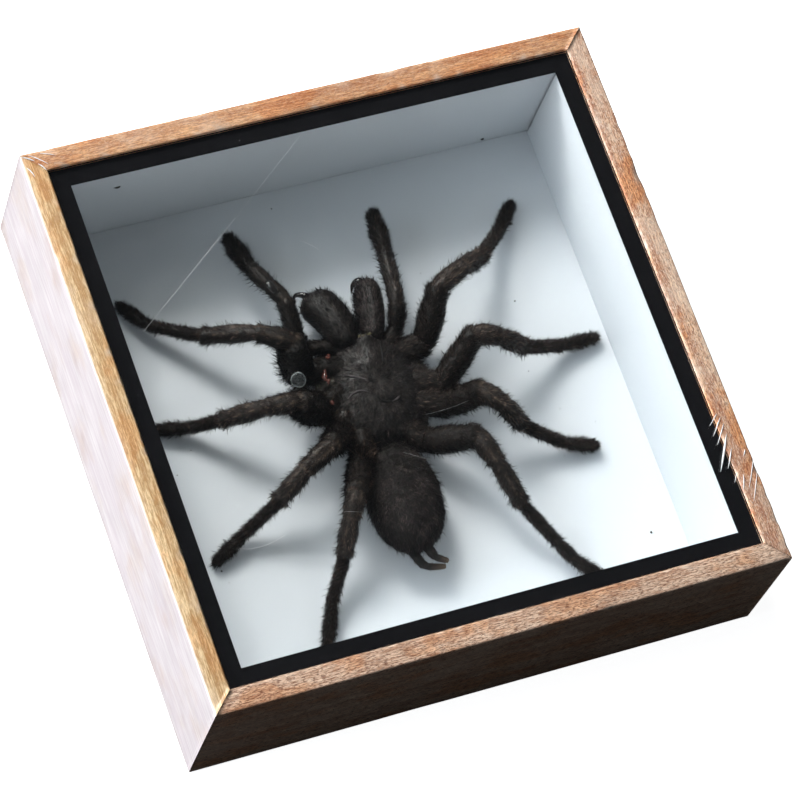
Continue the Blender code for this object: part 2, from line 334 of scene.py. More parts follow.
# %% The wood group
RING_STRETCH = (0.03, 1, 1)
RING_BEND = 0.006
BEND_SCALE = (12, 60, 60)
FIBRE_SCALE = (240, 2600, 2600)
PORE_SCALE = (900, 4600, 4600)
FLECK_SCALE = (1500, 4200, 4200)
BROAD_SCALE = (35, 130, 130)
PORE_TINT = (0.42, 0.30, 0.26, 1)
FLECK_TINT = (0.98, 0.86, 0.76, 1)


def make_wood():
    inputs = [
        ("Place", "Vector", None),
        ("Light", "Color", (0.6, 0.36, 0.2, 1)),
        ("Dark", "Color", (0.4, 0.2, 0.1, 1)),
        ("Ring Gap", "Float", 0.0025),
        ("Ring Strength", "Float", 0.4),
        ("Pores", "Float", 0.5),
        ("Flecks", "Float", 0.3),
    ]
    outputs = [("Color", "Color"), ("Height", "Float")]
    graph, given, result = new_group("wood", inputs, outputs)
    place = given["Place"]
    bend = graph.noise(graph.scaled(place, BEND_SCALE), 1.0, 2.0)
    radius = graph.length(graph.scaled(place, RING_STRETCH))
    bent = graph.math("MULTIPLY_ADD", bend, RING_BEND, radius)
    turns = graph.math("FRACT", graph.math("DIVIDE", bent, given["Ring Gap"]))
    late = graph.math("MULTIPLY", graph.spread(turns, 0.35, 0.9), graph.spread(turns, 1.0, 0.93))
    fibre = graph.noise(graph.scaled(place, FIBRE_SCALE), 1.0, 5.0, 0.75)
    pores = graph.noise(graph.scaled(place, PORE_SCALE), 1.0, 2.0, 0.6)
    pore_mask = graph.math("MULTIPLY", graph.spread(pores, 0.52, 0.60), given["Pores"])
    flecks = graph.noise(graph.moved(graph.scaled(place, FLECK_SCALE), (7, 3, 5)), 1.0, 2.0)
    fleck_mask = graph.math("MULTIPLY", graph.spread(flecks, 0.54, 0.62), given["Flecks"])
    broad = graph.noise(graph.scaled(place, BROAD_SCALE), 1.0, 3.0, 0.6)
    share = graph.math("MULTIPLY", late, given["Ring Strength"])
    share = graph.math("MULTIPLY_ADD", graph.spread(fibre, 0.39, 0.61), 0.85, share)
    share = graph.math("MULTIPLY_ADD", graph.spread(broad, 0.36, 0.64), 0.25, share)
    colour = graph.blend(share, given["Light"], given["Dark"])
    colour = graph.blend(pore_mask, colour, graph.blend(1.0, given["Dark"], PORE_TINT, "MULTIPLY"))
    colour = graph.blend(fleck_mask, colour, graph.blend(0.6, given["Light"], FLECK_TINT))
    height = graph.math("MULTIPLY_ADD", fibre, 0.5, graph.math("MULTIPLY", pore_mask, -1.0))
    graph.tree.links.new(colour, result["Color"])
    graph.tree.links.new(height, result["Height"])
    return graph.tree


WOOD = make_wood()
print("group", WOOD.name)


# %% [markdown]
# ## Four boards
# Each rail has its own board: where the tree's middle lay, how strong its rings are, how
# red or yellow it is and where its one small knot shows. A board also varies along its
# length, so every material adds redder and faded stretches. The left rail's outer face
# has a painted pale, streaky glare of reflected light. A thin clear finish gives the soft gloss.

# %% The four boards
RAIL_BOARDS = {
    "top": {
        "light": (0.86, 0.50, 0.26),
        "dark": (0.47, 0.195, 0.085),
        "middle": (0.02, 0.03, 0.05),
        "rings": 0.30,
        "pores": 0.45,
        "flecks": 0.25,
        "warm": 0.45,
        "knot": (-0.037, 0.0665, 0.0385),
    },
    "left": {
        "light": (0.98, 0.74, 0.43),
        "dark": (0.50, 0.275, 0.105),
        "middle": (-0.1, 0.05, 0.03),
        "rings": 0.40,
        "pores": 0.20,
        "flecks": 0.10,
        "warm": 0.40,
        "knot": (-0.031, 0.0690, 0.0385),
    },
    "bottom": {
        "light": (1.0, 0.74, 0.55),
        "dark": (0.50, 0.275, 0.17),
        "middle": (0.3, 0.01, 0.07),
        "rings": 0.22,
        "pores": 0.85,
        "flecks": 0.20,
        "warm": 0.50,
        "knot": (-0.066, 0.0670, 0.0385),
    },
    "right": {
        "light": (1.0, 0.70, 0.47),
        "dark": (0.50, 0.23, 0.135),
        "middle": (0.6, 0.02, 0.06),
        "rings": 0.28,
        "pores": 0.70,
        "flecks": 0.55,
        "warm": 0.80,
        "knot": (-0.023, 0.0658, 0.0385),
    },
}
print("boards", sorted(RAIL_BOARDS))


# %% Patches, knots and painted glare
KNOT_REACH = 0.0014
KNOT_RED = (0.32, 0.075, 0.035, 1)
REDDER = (1.0, 0.66, 0.37, 1)
FADED = (0.95, 0.80, 0.65, 1)
RUBBED_WOOD = (0.86, 0.74, 0.62, 1)
# Two tones of the painted glare that stands in for light reflected off the left rail's outer face.
GLARE_TONES = ((0.80, 0.72, 0.76, 1), (0.95, 0.90, 0.91, 1))


def patchy(graph, place, colour, warm):
    """Redder and faded stretches, as one board varies along its length."""
    patch = graph.noise(graph.scaled(place, (65, 130, 130)), 1.0, 3.0, 0.6)
    redder = graph.blend(1.0, colour, REDDER, "MULTIPLY")
    warmed = graph.math("MULTIPLY", graph.spread(patch, 0.48, 0.60), warm)
    colour = graph.blend(warmed, colour, redder)
    faded = graph.math("MULTIPLY", graph.spread(patch, 0.46, 0.34), 0.4 * warm)
    return graph.blend(faded, colour, FADED)


def knotted(graph, place, colour, knot):
    """A small red knot at this place on the rail."""
    away = graph.moved(graph.place(), tuple(-part for part in knot))
    distance = graph.length(graph.scaled(away, (0.55, 1.0, 1.0)))
    uneven = graph.math("MULTIPLY_ADD", graph.noise(place, 900.0), 0.0022, distance)
    share = graph.spread(uneven, KNOT_REACH, 0.5 * KNOT_REACH, 0.0, 0.75)
    return graph.blend(share, colour, KNOT_RED)


def painted_glare(graph, colour):
    """A painted pale, streaky glare of reflected light, where the point value asks for it."""
    streaks = graph.noise(graph.scaled(graph.place(), (60, 60, 900)), 1.0, 5.0, 0.7)
    glare = graph.blend(graph.spread(streaks, 0.35, 0.7), *GLARE_TONES)
    cover = graph.spread(graph.noise(graph.place(), 75.0, 3.0), 0.72, 0.45, 0.74, 0.96)
    share = graph.math("MULTIPLY", graph.point_value("painted_glare"), cover)
    return graph.blend(share, colour, glare)


print("knot reach", KNOT_REACH / MM, "mm")


# %% Four pine materials
RING_GAP = 0.0034


def pine(side, board):
    finish = {"Coat_Weight": 0.35, "Coat_Roughness": 0.25, "Coat_IOR": 1.5}
    material, graph, shader = new_material(f"pine_{side}", **finish)
    place = graph.moved(graph.place(), board["middle"])
    grain = graph.use(
        WOOD,
        Place=place,
        Light=(*board["light"], 1),
        Dark=(*board["dark"], 1),
        Ring_Gap=RING_GAP,
        Ring_Strength=board["rings"],
        Pores=board["pores"],
        Flecks=board["flecks"],
    )
    colour = patchy(graph, place, grain["Color"], board["warm"])
    colour = knotted(graph, place, colour, board["knot"])
    rubbed = graph.math("MULTIPLY", graph.point_value("worn"), 0.6)
    colour = painted_glare(graph, graph.blend(rubbed, colour, RUBBED_WOOD))
    rough = graph.spread(graph.noise(place, 160.0), 0.3, 0.7, 0.42, 0.62)
    connect(graph, shader, Base_Color=colour, Roughness=rough)
    rough_surface(graph, shader, grain["Height"], 0.00008)
    return material


PINE = {side: pine(side, board) for side, board in RAIL_BOARDS.items()}
print("pine materials", len(PINE))


# %% [markdown]
# ## The rails
# A real moulding comes off a saw and a sander, so its edges are slightly rounded, its
# faces are not dead flat and its corners have small chips. The rail is one section swept
# along its length. Each section point stops at its own distance from the middle, which cuts the
# 45 degree mitre without a boolean.

# %% The rail's section
SLACK = 0.3
RIM_WIDE = rail_high[1] - mat_high[1] - 0.12
EDGE_ROUND = 0.55
LEDGE_UP = mat_low[2] - 0.1
BACK_REBATE = board_high[1] + SLACK
BACK_REBATE_UP = board_high[2] + SLACK
POINT_GAP = 1.6


def rounded_outline(points, radius, steps=4):
    """The outline with each corner turned into a short arc."""
    points = np.array(points, float)
    made = []
    for before, corner, after in zip(np.roll(points, 1, 0), points, np.roll(points, -1, 0)):
        back = (before - corner) / np.linalg.norm(before - corner)
        ahead = (after - corner) / np.linalg.norm(after - corner)
        start = corner + back * radius
        end = corner + ahead * radius
        for step in range(steps + 1):
            t = step / steps
            made.append((1 - t) ** 2 * start + 2 * t * (1 - t) * corner + t**2 * end)
    return np.array(made)


def filled_in(outline, gap):
    """The closed outline with more points on its long stretches."""
    made = []
    for start, end in zip(outline, np.roll(outline, -1, 0)):
        count = max(1, math.ceil(np.linalg.norm(end - start) / gap))
        made += [start + (end - start) * step / count for step in range(count)]
    return np.array(made)


def rail_section():
    """Points as (distance from the middle, height)."""
    outer = rail_high[1]
    inner = rail_low[1]
    rim = outer - RIM_WIDE
    top = rail_high[2]
    outline = [
        (BACK_REBATE, 0.0),
        (outer, 0.0),
        (outer, top),
        (rim, top),
        (rim, LEDGE_UP),
        (inner, LEDGE_UP),
        (inner, BACK_REBATE_UP),
        (BACK_REBATE, BACK_REBATE_UP),
    ]
    return filled_in(rounded_outline(outline, EDGE_ROUND), POINT_GAP)


section = rail_section()
print("section points", len(section), "rim", round(RIM_WIDE, 2), "mm")


# %% The four rails
RAIL_RINGS = 90
MITRE_GAP = 0.03
MITRE_STRETCH = 0.03
EDGE_REACH = 0.5
CHIP_DEPTH = 0.45
SAG = 0.05


def rail_mesh(seed):
    """The swept section, its small unevenness, how worn each point is and whether it is outside."""
    share = np.linspace(-1, 1, RAIL_RINGS)
    reach = section[:, 0] - MITRE_GAP
    along = share[:, None] * reach[None, :]
    ring = np.ones((RAIL_RINGS, 1))
    points = np.stack([along, ring * section[:, 0], ring * section[:, 1]], -1).reshape(-1, 3)
    shape = points.copy()
    outer, top = rail_high[1], rail_high[2]
    rim = outer - RIM_WIDE
    at_top = bell(points[:, 2] - top, EDGE_REACH)
    outer_edge = at_top * bell(points[:, 1] - outer, EDGE_REACH)
    inner_edge = at_top * bell(points[:, 1] - rim, EDGE_REACH)
    ends = np.clip((np.abs(share) - 1 + MITRE_STRETCH) / MITRE_STRETCH, 0, 1).repeat(len(section))
    chips = np.clip(ripple(points, 9, seed) - 0.75, 0, 1) * outer_edge
    nicks = np.clip(ripple(points, 3.5, seed + 1) - 0.55, 0, 1) * inner_edge
    shape[:, 1] -= CHIP_DEPTH * chips - 0.4 * nicks
    shape[:, 2] -= CHIP_DEPTH * chips + 0.3 * nicks
    sag = SAG * ripple(points, 45, seed + 2) * (1 - ends)
    shape[:, 1] -= np.clip(sag, 0, 1) * bell(points[:, 1] - outer, 1.0)
    shape[:, 2] -= np.clip(-sag, 0, 1) * bell(points[:, 2] - top, 1.0)
    rubbed = 0.35 * outer_edge * ripple(points, 2.5, seed + 3)
    worn = np.clip(2.2 * chips + 2.6 * nicks + rubbed, 0, 1)
    return shape, worn, bell(points[:, 1] - outer, 0.3)


def end_caps(outline, rings):
    """Triangles that close both ends of the swept outline."""
    cap = np.array(tessellate_polygon([[Vector((*point, 0)) for point in outline]]))
    a, b, c = (outline[cap[:, k]] for k in range(3))
    turned = (b - a)[:, 0] * (c - a)[:, 1] - (b - a)[:, 1] * (c - a)[:, 0]
    facing = np.where(turned[:, None] > 0, cap, cap[:, ::-1])
    return np.concatenate([facing[:, ::-1], facing + (rings - 1) * len(outline)])


for turns, side in enumerate(("top", "left", "bottom", "right")):
    points, worn, outside = rail_mesh(40 + 10 * turns)
    faces = [ring_faces(RAIL_RINGS, len(section)), end_caps(section, RAIL_RINGS)]
    name = f"rail_{side}_wood"
    turn = turns * math.pi / 2
    rail = add_piece(name, points, faces, PINE[side], [f"rail_{side}"], turn)
    mark(rail, "worn", worn)
    # Only the left rail's outer face gets the painted glare.
    mark(rail, "painted_glare", outside * (side == "left"))


# %% [markdown]
# ## Card, board and steel
# The border and the liner are thin card. Card shows a soft fibre under a raking light
# and collects dust. Two materials share one recipe with different colours and dust.
# The back is brown hardboard, which is pressed fibre with a leathery face.

# %% Two cards
def card(name, colour, shade, dust, dust_share, rough, gloss):
    material, graph, shader = new_material(name, Specular_IOR_Level=gloss)
    place = graph.place()
    fibre = graph.noise(place, 1500.0, 4.0, 0.7)
    cloud = graph.noise(place, 28.0, 3.0)
    share = graph.math("MULTIPLY_ADD", cloud, 0.6, graph.math("MULTIPLY", fibre, 0.4))
    base = graph.blend(share, (*colour, 1), (*shade, 1))
    specks = graph.use(SPECKS, Place=place, Per_Metre=420.0, Share=dust_share, Size=0.06)
    base = graph.blend(specks["Mask"], base, (*dust, 1))
    rough_map = graph.spread(fibre, 0.3, 0.7, rough - 0.08, rough + 0.08)
    connect(graph, shader, Base_Color=base, Roughness=rough_map)
    rough_surface(graph, shader, fibre, 0.00003)
    return material


WHITE_CARD = card(
    "white_card",
    colour=(0.580, 0.605, 0.635),
    shade=(0.535, 0.565, 0.60),
    dust=(0.30, 0.29, 0.28),
    dust_share=0.008,
    rough=0.88,
    gloss=0.15,
)
BLACK_CARD = card(
    "black_card",
    colour=(0.0022, 0.0021, 0.0027),
    shade=(0.0055, 0.0052, 0.006),
    dust=(0.42, 0.42, 0.44),
    dust_share=0.09,
    rough=0.9,
    gloss=0.02,
)


print("cards", WHITE_CARD.name, BLACK_CARD.name)


# %% Board and steel
def hardboard():
    material, graph, shader = new_material("hardboard")
    place = graph.place()
    fibre = graph.noise(graph.scaled(place, (1, 1, 3)), 900.0, 6.0, 0.75)
    patch = graph.noise(place, 60.0, 3.0)
    share = graph.math("MULTIPLY_ADD", patch, 0.5, graph.math("MULTIPLY", fibre, 0.6))
    base = graph.blend(share, (0.12, 0.06, 0.028, 1), (0.30, 0.17, 0.085, 1))
    rough = graph.spread(fibre, 0.3, 0.7, 0.5, 0.8)
    connect(graph, shader, Base_Color=base, Roughness=rough)
    rough_surface(graph, shader, fibre, 0.00006)
    return material


def steel():
    material, graph, shader = new_material("steel", Metallic=1.0)
    place = graph.place()
    marks = graph.noise(graph.scaled(place, (1, 9, 1)), 400.0, 4.0)
    base = graph.blend(marks, (0.42, 0.42, 0.43, 1), (0.66, 0.66, 0.67, 1))
    rough = graph.spread(marks, 0.3, 0.7, 0.25, 0.5)
    connect(graph, shader, Base_Color=base, Roughness=rough)
    rough_surface(graph, shader, marks, 0.00001)
    return material


def finish_node(node, material):
    """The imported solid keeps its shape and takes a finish."""
    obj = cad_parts[node]
    obj.data.materials.clear()
    obj.data.materials.append(material)


finish_node("back_board", hardboard())
STEEL = steel()
for side in ("top", "left", "bottom", "right"):
    finish_node(f"point_{side}", STEEL)
print("board and points finished")


# %% [markdown]
# ## Liner and border
# Card that is cut with a knife and pushed into a box isn't flat: it swells a little
# between its edges. Each sheet is a thin slab on a grid whose two faces share one
# gentle swell, so it keeps its thickness. The walls stand on the floor sheet. The
# border lies pressed flat under the glass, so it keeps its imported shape.

# %% Sheets of card
SHEET_CELLS = 40
SHEET_EDGE = 0.12
SHEET_ROUND = 0.06
SWELL_REACH = 12.0
SWELL_SIZE = 55.0
CARD_GAP = 0.005


def sheet_steps(near, far):
    """Places across a sheet, with a narrow strip along each edge."""
    inner = np.linspace(near + 1, far - 1, SHEET_CELLS)
    return np.concatenate([[near, near + SHEET_EDGE], inner, [far - SHEET_EDGE, far]])


def grid_rim(rows, columns):
    """The numbers of the points round the edge of a grid, in order."""
    return np.concatenate(
        [
            np.arange(columns),
            np.arange(1, rows) * columns + columns - 1,
            (rows - 1) * columns + np.arange(columns - 2, -1, -1),
            np.arange(rows - 2, 0, -1) * columns,
        ]
    )


def card_sheet(name, node, material, swell, seed):
    """A slab on a grid in the node's own box, with rounded edges and a gentle swell."""
    low, high = corners(node)
    if "wall" in node:
        low[2] = FLOOR + CARD_GAP
    thin = int(np.argmin(high - low))
    first, second = [axis for axis in range(3) if axis != thin]
    u, v = np.meshgrid(*[sheet_steps(low[axis], high[axis]) for axis in (first, second)], indexing="ij")
    rows, columns = u.shape
    inside = np.minimum.reduce([u - low[first], high[first] - u, v - low[second], high[second] - v])
    round_off = SHEET_ROUND * (inside < 0.01)
    layers = []
    for face, sign in ((low[thin], 1), (high[thin], -1)):
        layer = np.zeros((rows, columns, 3))
        layer[..., first] = u
        layer[..., second] = v
        layer[..., thin] = face + sign * round_off
        layers.append(layer.reshape(-1, 3))
    points = np.concatenate(layers)
    flat = np.tile(layers[0], (2, 1))
    middle = np.tile(np.clip(inside / SWELL_REACH, 0, 1).ravel(), 2)
    points[:, thin] += swell * middle * ripple(flat, SWELL_SIZE, seed)
    cell = (np.arange(rows - 1)[:, None] * columns + np.arange(columns - 1)[None, :]).ravel()
    quads = np.stack([cell, cell + columns, cell + columns + 1, cell + 1], -1)
    shift = rows * columns
    rim = grid_rim(rows, columns)
    walls = np.stack([rim, np.roll(rim, -1), np.roll(rim, -1) + shift, rim + shift], -1)
    turned = -1 if thin == 1 else 1
    faces = [quads[:, ::-1][:, ::turned], (quads + shift)[:, ::turned], walls[:, ::turned]]
    return add_piece(name, points, faces, material, [node])


card_sheet("liner_floor_card", "liner_floor", WHITE_CARD, 0.12, 3)
for number, side in enumerate(("top", "bottom", "left", "right")):
    card_sheet(f"liner_{side}_card", f"liner_wall_{side}", WHITE_CARD, 0.1, 4 + number)
finish_node("border_mat", BLACK_CARD)


# %% [markdown]
# ## Glass
# A flat clear pane. It casts no shadow, because light that comes through a thin pane is
# hardly dimmed, and a traced shadow would wrongly darken the whole inside.

# %% The pane
def glass_material():
    values = {"Base_Color": (0.97, 0.99, 0.98, 1), "Roughness": 0.0, "IOR": 1.45}
    return new_material("glass", Transmission_Weight=1.0, **values)[0]


finish_node("glass", glass_material())
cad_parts["glass"].visible_shadow = False
print("glass", round(glass_high[2] - glass_low[2], 2), "mm thick")


# %% [markdown]
# ## The spider's finishes
# A dried tarantula is nearly black with a warm brown tinge. Its skin shows between the
# hairs: it is leathery, a little glossy, and paler where it is bare, on the joints and in
# stripes along the knees. The attribute named bare tells the material where that is.

# %% Skin, horn and membrane
BARE_SKIN = (0.13, 0.09, 0.062, 1)


def skin(name, dark, light, gloss):
    material, graph, shader = new_material(name, Specular_IOR_Level=0.25)
    place = graph.place()
    mottle = graph.noise(place, 700.0, 4.0, 0.6)
    base = graph.blend(graph.spread(mottle, 0.35, 0.7), (*dark, 1), (*light, 1))
    base = graph.blend(graph.point_value("bare"), base, BARE_SKIN)
    rough = graph.spread(mottle, 0.3, 0.7, gloss, gloss + 0.15)
    connect(graph, shader, Base_Color=base, Roughness=rough)
    rough_surface(graph, shader, graph.noise(place, 2600.0, 3.0), 0.00006)
    return material


def horn(name, dark, light, rough):
    """A smooth hard finish with faint paler streaks and a thin gloss."""
    material, graph, shader = new_material(name, Coat_Weight=0.4, Coat_Roughness=0.1)
    place = graph.place()
    streak = graph.noise(place, 500.0, 2.0)
    base = graph.blend(graph.spread(streak, 0.35, 0.75), (*dark, 1), (*light, 1))
    rough_map = graph.spread(streak, 0.3, 0.7, rough, rough + 0.12)
    connect(graph, shader, Base_Color=base, Roughness=rough_map)
    rough_surface(graph, shader, streak, 0.00002)
    return material


CUTICLE = skin("cuticle", (0.006, 0.0048, 0.0044), (0.017, 0.0125, 0.010), 0.42)
ROOT_SKIN = skin("root_skin", (0.012, 0.0105, 0.0065), (0.040, 0.034, 0.022), 0.42)
ABDOMEN_SKIN = skin("abdomen_skin", (0.009, 0.008, 0.007), (0.020, 0.017, 0.015), 0.6)
HORN = horn("fang_horn", (0.006, 0.005, 0.005), (0.016, 0.010, 0.008), 0.14)
MEMBRANE = horn("membrane", (0.035, 0.009, 0.007), (0.13, 0.038, 0.027), 0.14)
EYE = horn("eye", (0.030, 0.026, 0.014), (0.10, 0.088, 0.048), 0.1)
GLOSSY = horn("glossy_skin", (0.006, 0.0048, 0.0044), (0.014, 0.0105, 0.009), 0.12)
FOLD_SKIN = skin("fold_skin", (0.030, 0.025, 0.026), (0.062, 0.051, 0.053), 0.4)
# Near black skin for thin tubes that paint shade into the shield's pit and grooves.
PAINTED_SHADE = skin("painted_crease_shade", (0.003, 0.0024, 0.0024), (0.007, 0.0055, 0.005), 0.7)
print("skins ready")


# %% [markdown]
# ## Hair colour
# Each hair is a mesh strand, so its colour can come from where it lies on a flat map:
# the column is the hair's own tone, from dark on the left to pale on the right, and the
# height runs from its root to its tip. Hundreds of hairs share a column, and the map
# stays small. The group takes its colours, because the abdomen is greyer than the legs.

# %% The hair group and its materials
HAIR_COLUMNS = 128
HAIR_MAP = "OFBake"


def make_hair_tone():
    inputs = [
        ("Root", "Color", (0.01, 0.01, 0.01, 1)),
        ("Tip", "Color", (0.05, 0.05, 0.05, 1)),
        ("Pale", "Color", (0.2, 0.15, 0.12, 1)),
    ]
    graph, given, result = new_group("hair_tone", inputs, [("Color", "Color")])
    where = graph.add("ShaderNodeUVMap", uv_map=HAIR_MAP).outputs[0]
    across, along, _ = graph.add("ShaderNodeSeparateXYZ", {0: where}).outputs
    colour = graph.blend(graph.spread(along, 0.05, 0.9), given["Root"], given["Tip"])
    bright = graph.math("MULTIPLY_ADD", across, 2.3, 0.08)
    colour = graph.blend(1.0, colour, graph.grey(bright), "MULTIPLY")
    colour = graph.blend(graph.spread(across, 0.66, 1.0, 0.0, 0.85), colour, given["Pale"])
    graph.tree.links.new(colour, result["Color"])
    return graph.tree


HAIR_TONE = make_hair_tone()


def hair_material(name, root, tip, pale, rough):
    material, graph, shader = new_material(name, Roughness=rough, Specular_IOR_Level=0.13)
    tone = graph.use(HAIR_TONE, Root=(*root, 1), Tip=(*tip, 1), Pale=(*pale, 1))
    connect(graph, shader, Base_Color=tone["Color"])
    return material


LEG_HAIR = hair_material(
    "leg_hair",
    root=(0.0045, 0.003, 0.0026),
    tip=(0.0205, 0.0128, 0.0100),
    pale=(0.19, 0.13, 0.10),
    rough=0.45,
)
BODY_HAIR = hair_material(
    "body_hair",
    root=(0.005, 0.004, 0.004),
    tip=(0.0200, 0.0150, 0.0150),
    pale=(0.15, 0.115, 0.105),
    rough=0.5,
)
HEAD_HAIR = hair_material(
    "head_hair",
    root=(0.0035, 0.0026, 0.0028),
    tip=(0.0100, 0.0074, 0.0078),
    pale=(0.10, 0.074, 0.070),
    rough=0.5,
)
print("hair columns", HAIR_COLUMNS)


# %% [markdown]
# ## A coat of hair
# Particle hair is the usual way in Blender, but it isn't a mesh, so it is lost on export.
# Here each hair is a thin ribbon that narrows to a point and bends towards the surface.
# The roots are scattered over the skin's own triangles, in proportion to their area
# and to how thick the coat is there. Each point of the skin knows which way its hair is
# combed, how long it is and how thick the coat is. Neighbours lean together in tufts.
# A kind of hair is four values: its lift in degrees at the root and at the tip, its
# width, its bends and how far it strays from the combing.

# %% Kinds of hair
TUFT = 1.1
ROOT_SUNK = 0.04
TIP_SHARE = 0.45
KINDS = {
    "leg coat": ((30, 14), 0.10, 2, 0.3),
    "wild": ((52, 30), 0.13, 3, 0.45),
    "brush": ((62, 42), 0.11, 2, 0.5),
    "pale tuft": ((62, 40), 0.13, 3, 0.7),
    "shield coat": ((26, 12), 0.10, 2, 0.4),
    "shield fringe": ((45, 28), 0.12, 3, 0.5),
    "root tufts": ((40, 20), 0.12, 2, 0.5),
    "velvet": ((32, 14), 0.11, 2, 0.35),
    "single long": ((46, 24), 0.11, 3, 0.4),
    "jaw coat": ((24, 10), 0.09, 2, 0.3),
    "bristles": ((48, 30), 0.12, 3, 0.4),
    "finger coat": ((26, 12), 0.08, 2, 0.3),
}
print("kinds of hair", len(KINDS))


# %% Roots on a skin
def normals_of(points, quads):
    """A unit normal at each point, as the sum of its faces' normals."""
    a, b, c, d = (points[quads[:, k]] for k in range(4))
    across = np.cross(c - a, d - b)
    total = np.zeros_like(points)
    for k in range(4):
        np.add.at(total, quads[:, k], across)
    return total / np.maximum(np.linalg.norm(total, axis=1, keepdims=True), 1e-9)


def unit(vectors):
    return vectors / np.maximum(np.linalg.norm(vectors, axis=-1, keepdims=True), 1e-9)


def scattered_roots(skin_form, count, thickness, dice):
    """Random places on the skin: three point numbers and three shares for each root."""
    quads = skin_form["quads"]
    points = skin_form["points"]
    triangles = np.concatenate([quads[:, [0, 1, 2]], quads[:, [0, 2, 3]]])
    a, b, c = (points[triangles[:, k]] for k in range(3))
    area = np.linalg.norm(np.cross(b - a, c - a), axis=1)
    weight = area * thickness[triangles].mean(1)
    chosen = triangles[dice.choice(len(triangles), count, p=weight / weight.sum())]
    first, second = dice.random(count), dice.random(count)
    over = first + second > 1
    first[over], second[over] = 1 - first[over], 1 - second[over]
    return chosen, np.stack([1 - first - second, first, second], 1)


square = np.array([[0, 0, 0], [1, 0, 0], [1, 1, 0], [0, 1, 0]], float)
print("a level square faces", normals_of(square, np.array([[0, 1, 2, 3]]))[0])


# %% Growing strands
def strand_faces(count, bends):
    """Quads up to each strand's last bend, and the triangle that ends it in a point."""
    base = np.arange(count)[:, None] * (2 * bends + 1)
    quads = [base + np.array([2 * k, 2 * k + 1, 2 * k + 3, 2 * k + 2]) for k in range(bends - 1)]
    tips = base + np.array([2 * bends - 2, 2 * bends - 1, 2 * bends])
    return [np.concatenate(quads), tips]


def strand_map(shade, bends, dice):
    """Places on the hair map: the tone gives each strand's column, and its length the height."""
    count = len(shade)
    column = (np.clip(shade, 0.004, 0.996) * HAIR_COLUMNS).astype(int)
    left = (column + 0.1) / HAIR_COLUMNS
    right = (column + 0.9) / HAIR_COLUMNS
    over = np.where(dice.random(count) < 0.5, left, right)
    rows = []
    for step in range(bends):
        height = np.full(count, 0.02 + 0.96 * step / bends)
        rows += [np.stack([left, height], 1), np.stack([right, height], 1)]
    rows.append(np.stack([over, np.full(count, 0.98)], 1))
    return np.stack(rows, 1).reshape(-1, 2)


def grow_hair(skin_form, kind, count, seed, length, thickness, tone=0.4):
    """Strands of one kind of hair, as points, faces and map places."""
    lift, wide, bends, stray = KINDS[kind]
    dice = np.random.default_rng(seed)
    tone = tone + np.zeros(len(skin_form["points"]))
    chosen, shares = scattered_roots(skin_form, count, thickness, dice)

    def at_root(values):
        picked = values[chosen]
        return (picked * (shares[..., None] if picked.ndim == 3 else shares)).sum(1)

    root = at_root(skin_form["points"])
    normal = unit(at_root(skin_form["normals"]))
    comb = at_root(skin_form["comb"])
    comb = unit(comb - normal * (comb * normal).sum(1, keepdims=True))
    tuft = ripple(root, TUFT, seed + 1)
    sway = dice.normal(0, stray, count) + 0.5 * ripple(root, 1.4 * TUFT, seed + 2)
    comb = unit(comb + np.cross(normal, comb) * sway[:, None])
    long = (at_root(length) * dice.uniform(0.65, 1.25, count))[:, None]
    width = (wide * dice.uniform(0.75, 1.2, count))[:, None]
    raised = (1 + 0.45 * tuft)[:, None]
    begin = np.radians(lift[0]) * raised * dice.uniform(0.7, 1.3, count)[:, None]
    finish = np.radians(lift[1]) * raised * dice.uniform(0.5, 1.5, count)[:, None]
    roll = dice.normal(0, 0.6, count)[:, None]
    place = root - ROOT_SUNK * normal
    rows = []
    for step in range(bends):
        share = step / bends
        angle = begin + (finish - begin) * share
        heading = np.cos(angle) * comb + np.sin(angle) * normal
        flat = unit(np.cross(heading, normal)) * np.cos(roll) + normal * np.sin(roll)
        half = 0.5 * width * (1 - (1 - TIP_SHARE) * share) * flat
        rows += [place - half, place + half]
        place = place + heading * long / bends
    rows.append(place)
    shade = at_root(tone) + 0.12 * tuft + dice.normal(0, 0.2, count)
    points = np.stack(rows, 1).reshape(-1, 3)
    return points, strand_faces(count, bends), strand_map(shade, bends, dice)


print("a strand with two bends has", len(strand_faces(1, 2)), "faces")


# %% One piece of hair
def joined(parts):
    """Several lots of strands as one: points, faces with quads first, and map places."""
    shift = np.cumsum([0] + [len(points) for points, _, _ in parts])
    faces = [rows + start for (_, lot, _), start in zip(parts, shift) for rows in lot]
    quads = [rows for rows in faces if rows.shape[1] == 4]
    triangles = [rows for rows in faces if rows.shape[1] == 3]
    points = np.concatenate([points for points, _, _ in parts])
    places = np.concatenate([places for _, _, places in parts])
    return points, [np.concatenate(rows) for rows in (quads, triangles) if rows], places


def add_hair(name, parts, material):
    points, faces, places = joined(parts)
    obj = add_piece(name, points, faces, material)
    layer = obj.data.uv_layers.new(name=HAIR_MAP)
    corner_points = np.concatenate([rows.ravel() for rows in faces])
    layer.data.foreach_set("uv", places[corner_points].astype(np.float32).ravel())
    return obj


print("hair tools ready")


# %% [markdown]
# ## Limbs
# A tarantula's leg has six parts: coxa, femur, patella, tibia, metatarsus and tarsus. Its
# route is a root inside the carapace and then a length, a heading and a pitch for each
# part, with headings turning from +X to +Y. The rows repeat the routes of the packed
# solids. The radii are slimmer than theirs, because the hair adds its own width.
# A swept tube with one radius looks like pipe, so each part swells in its middle, flares
# where it ends and pinches at the joint, where the next part starts out of its sleeve.

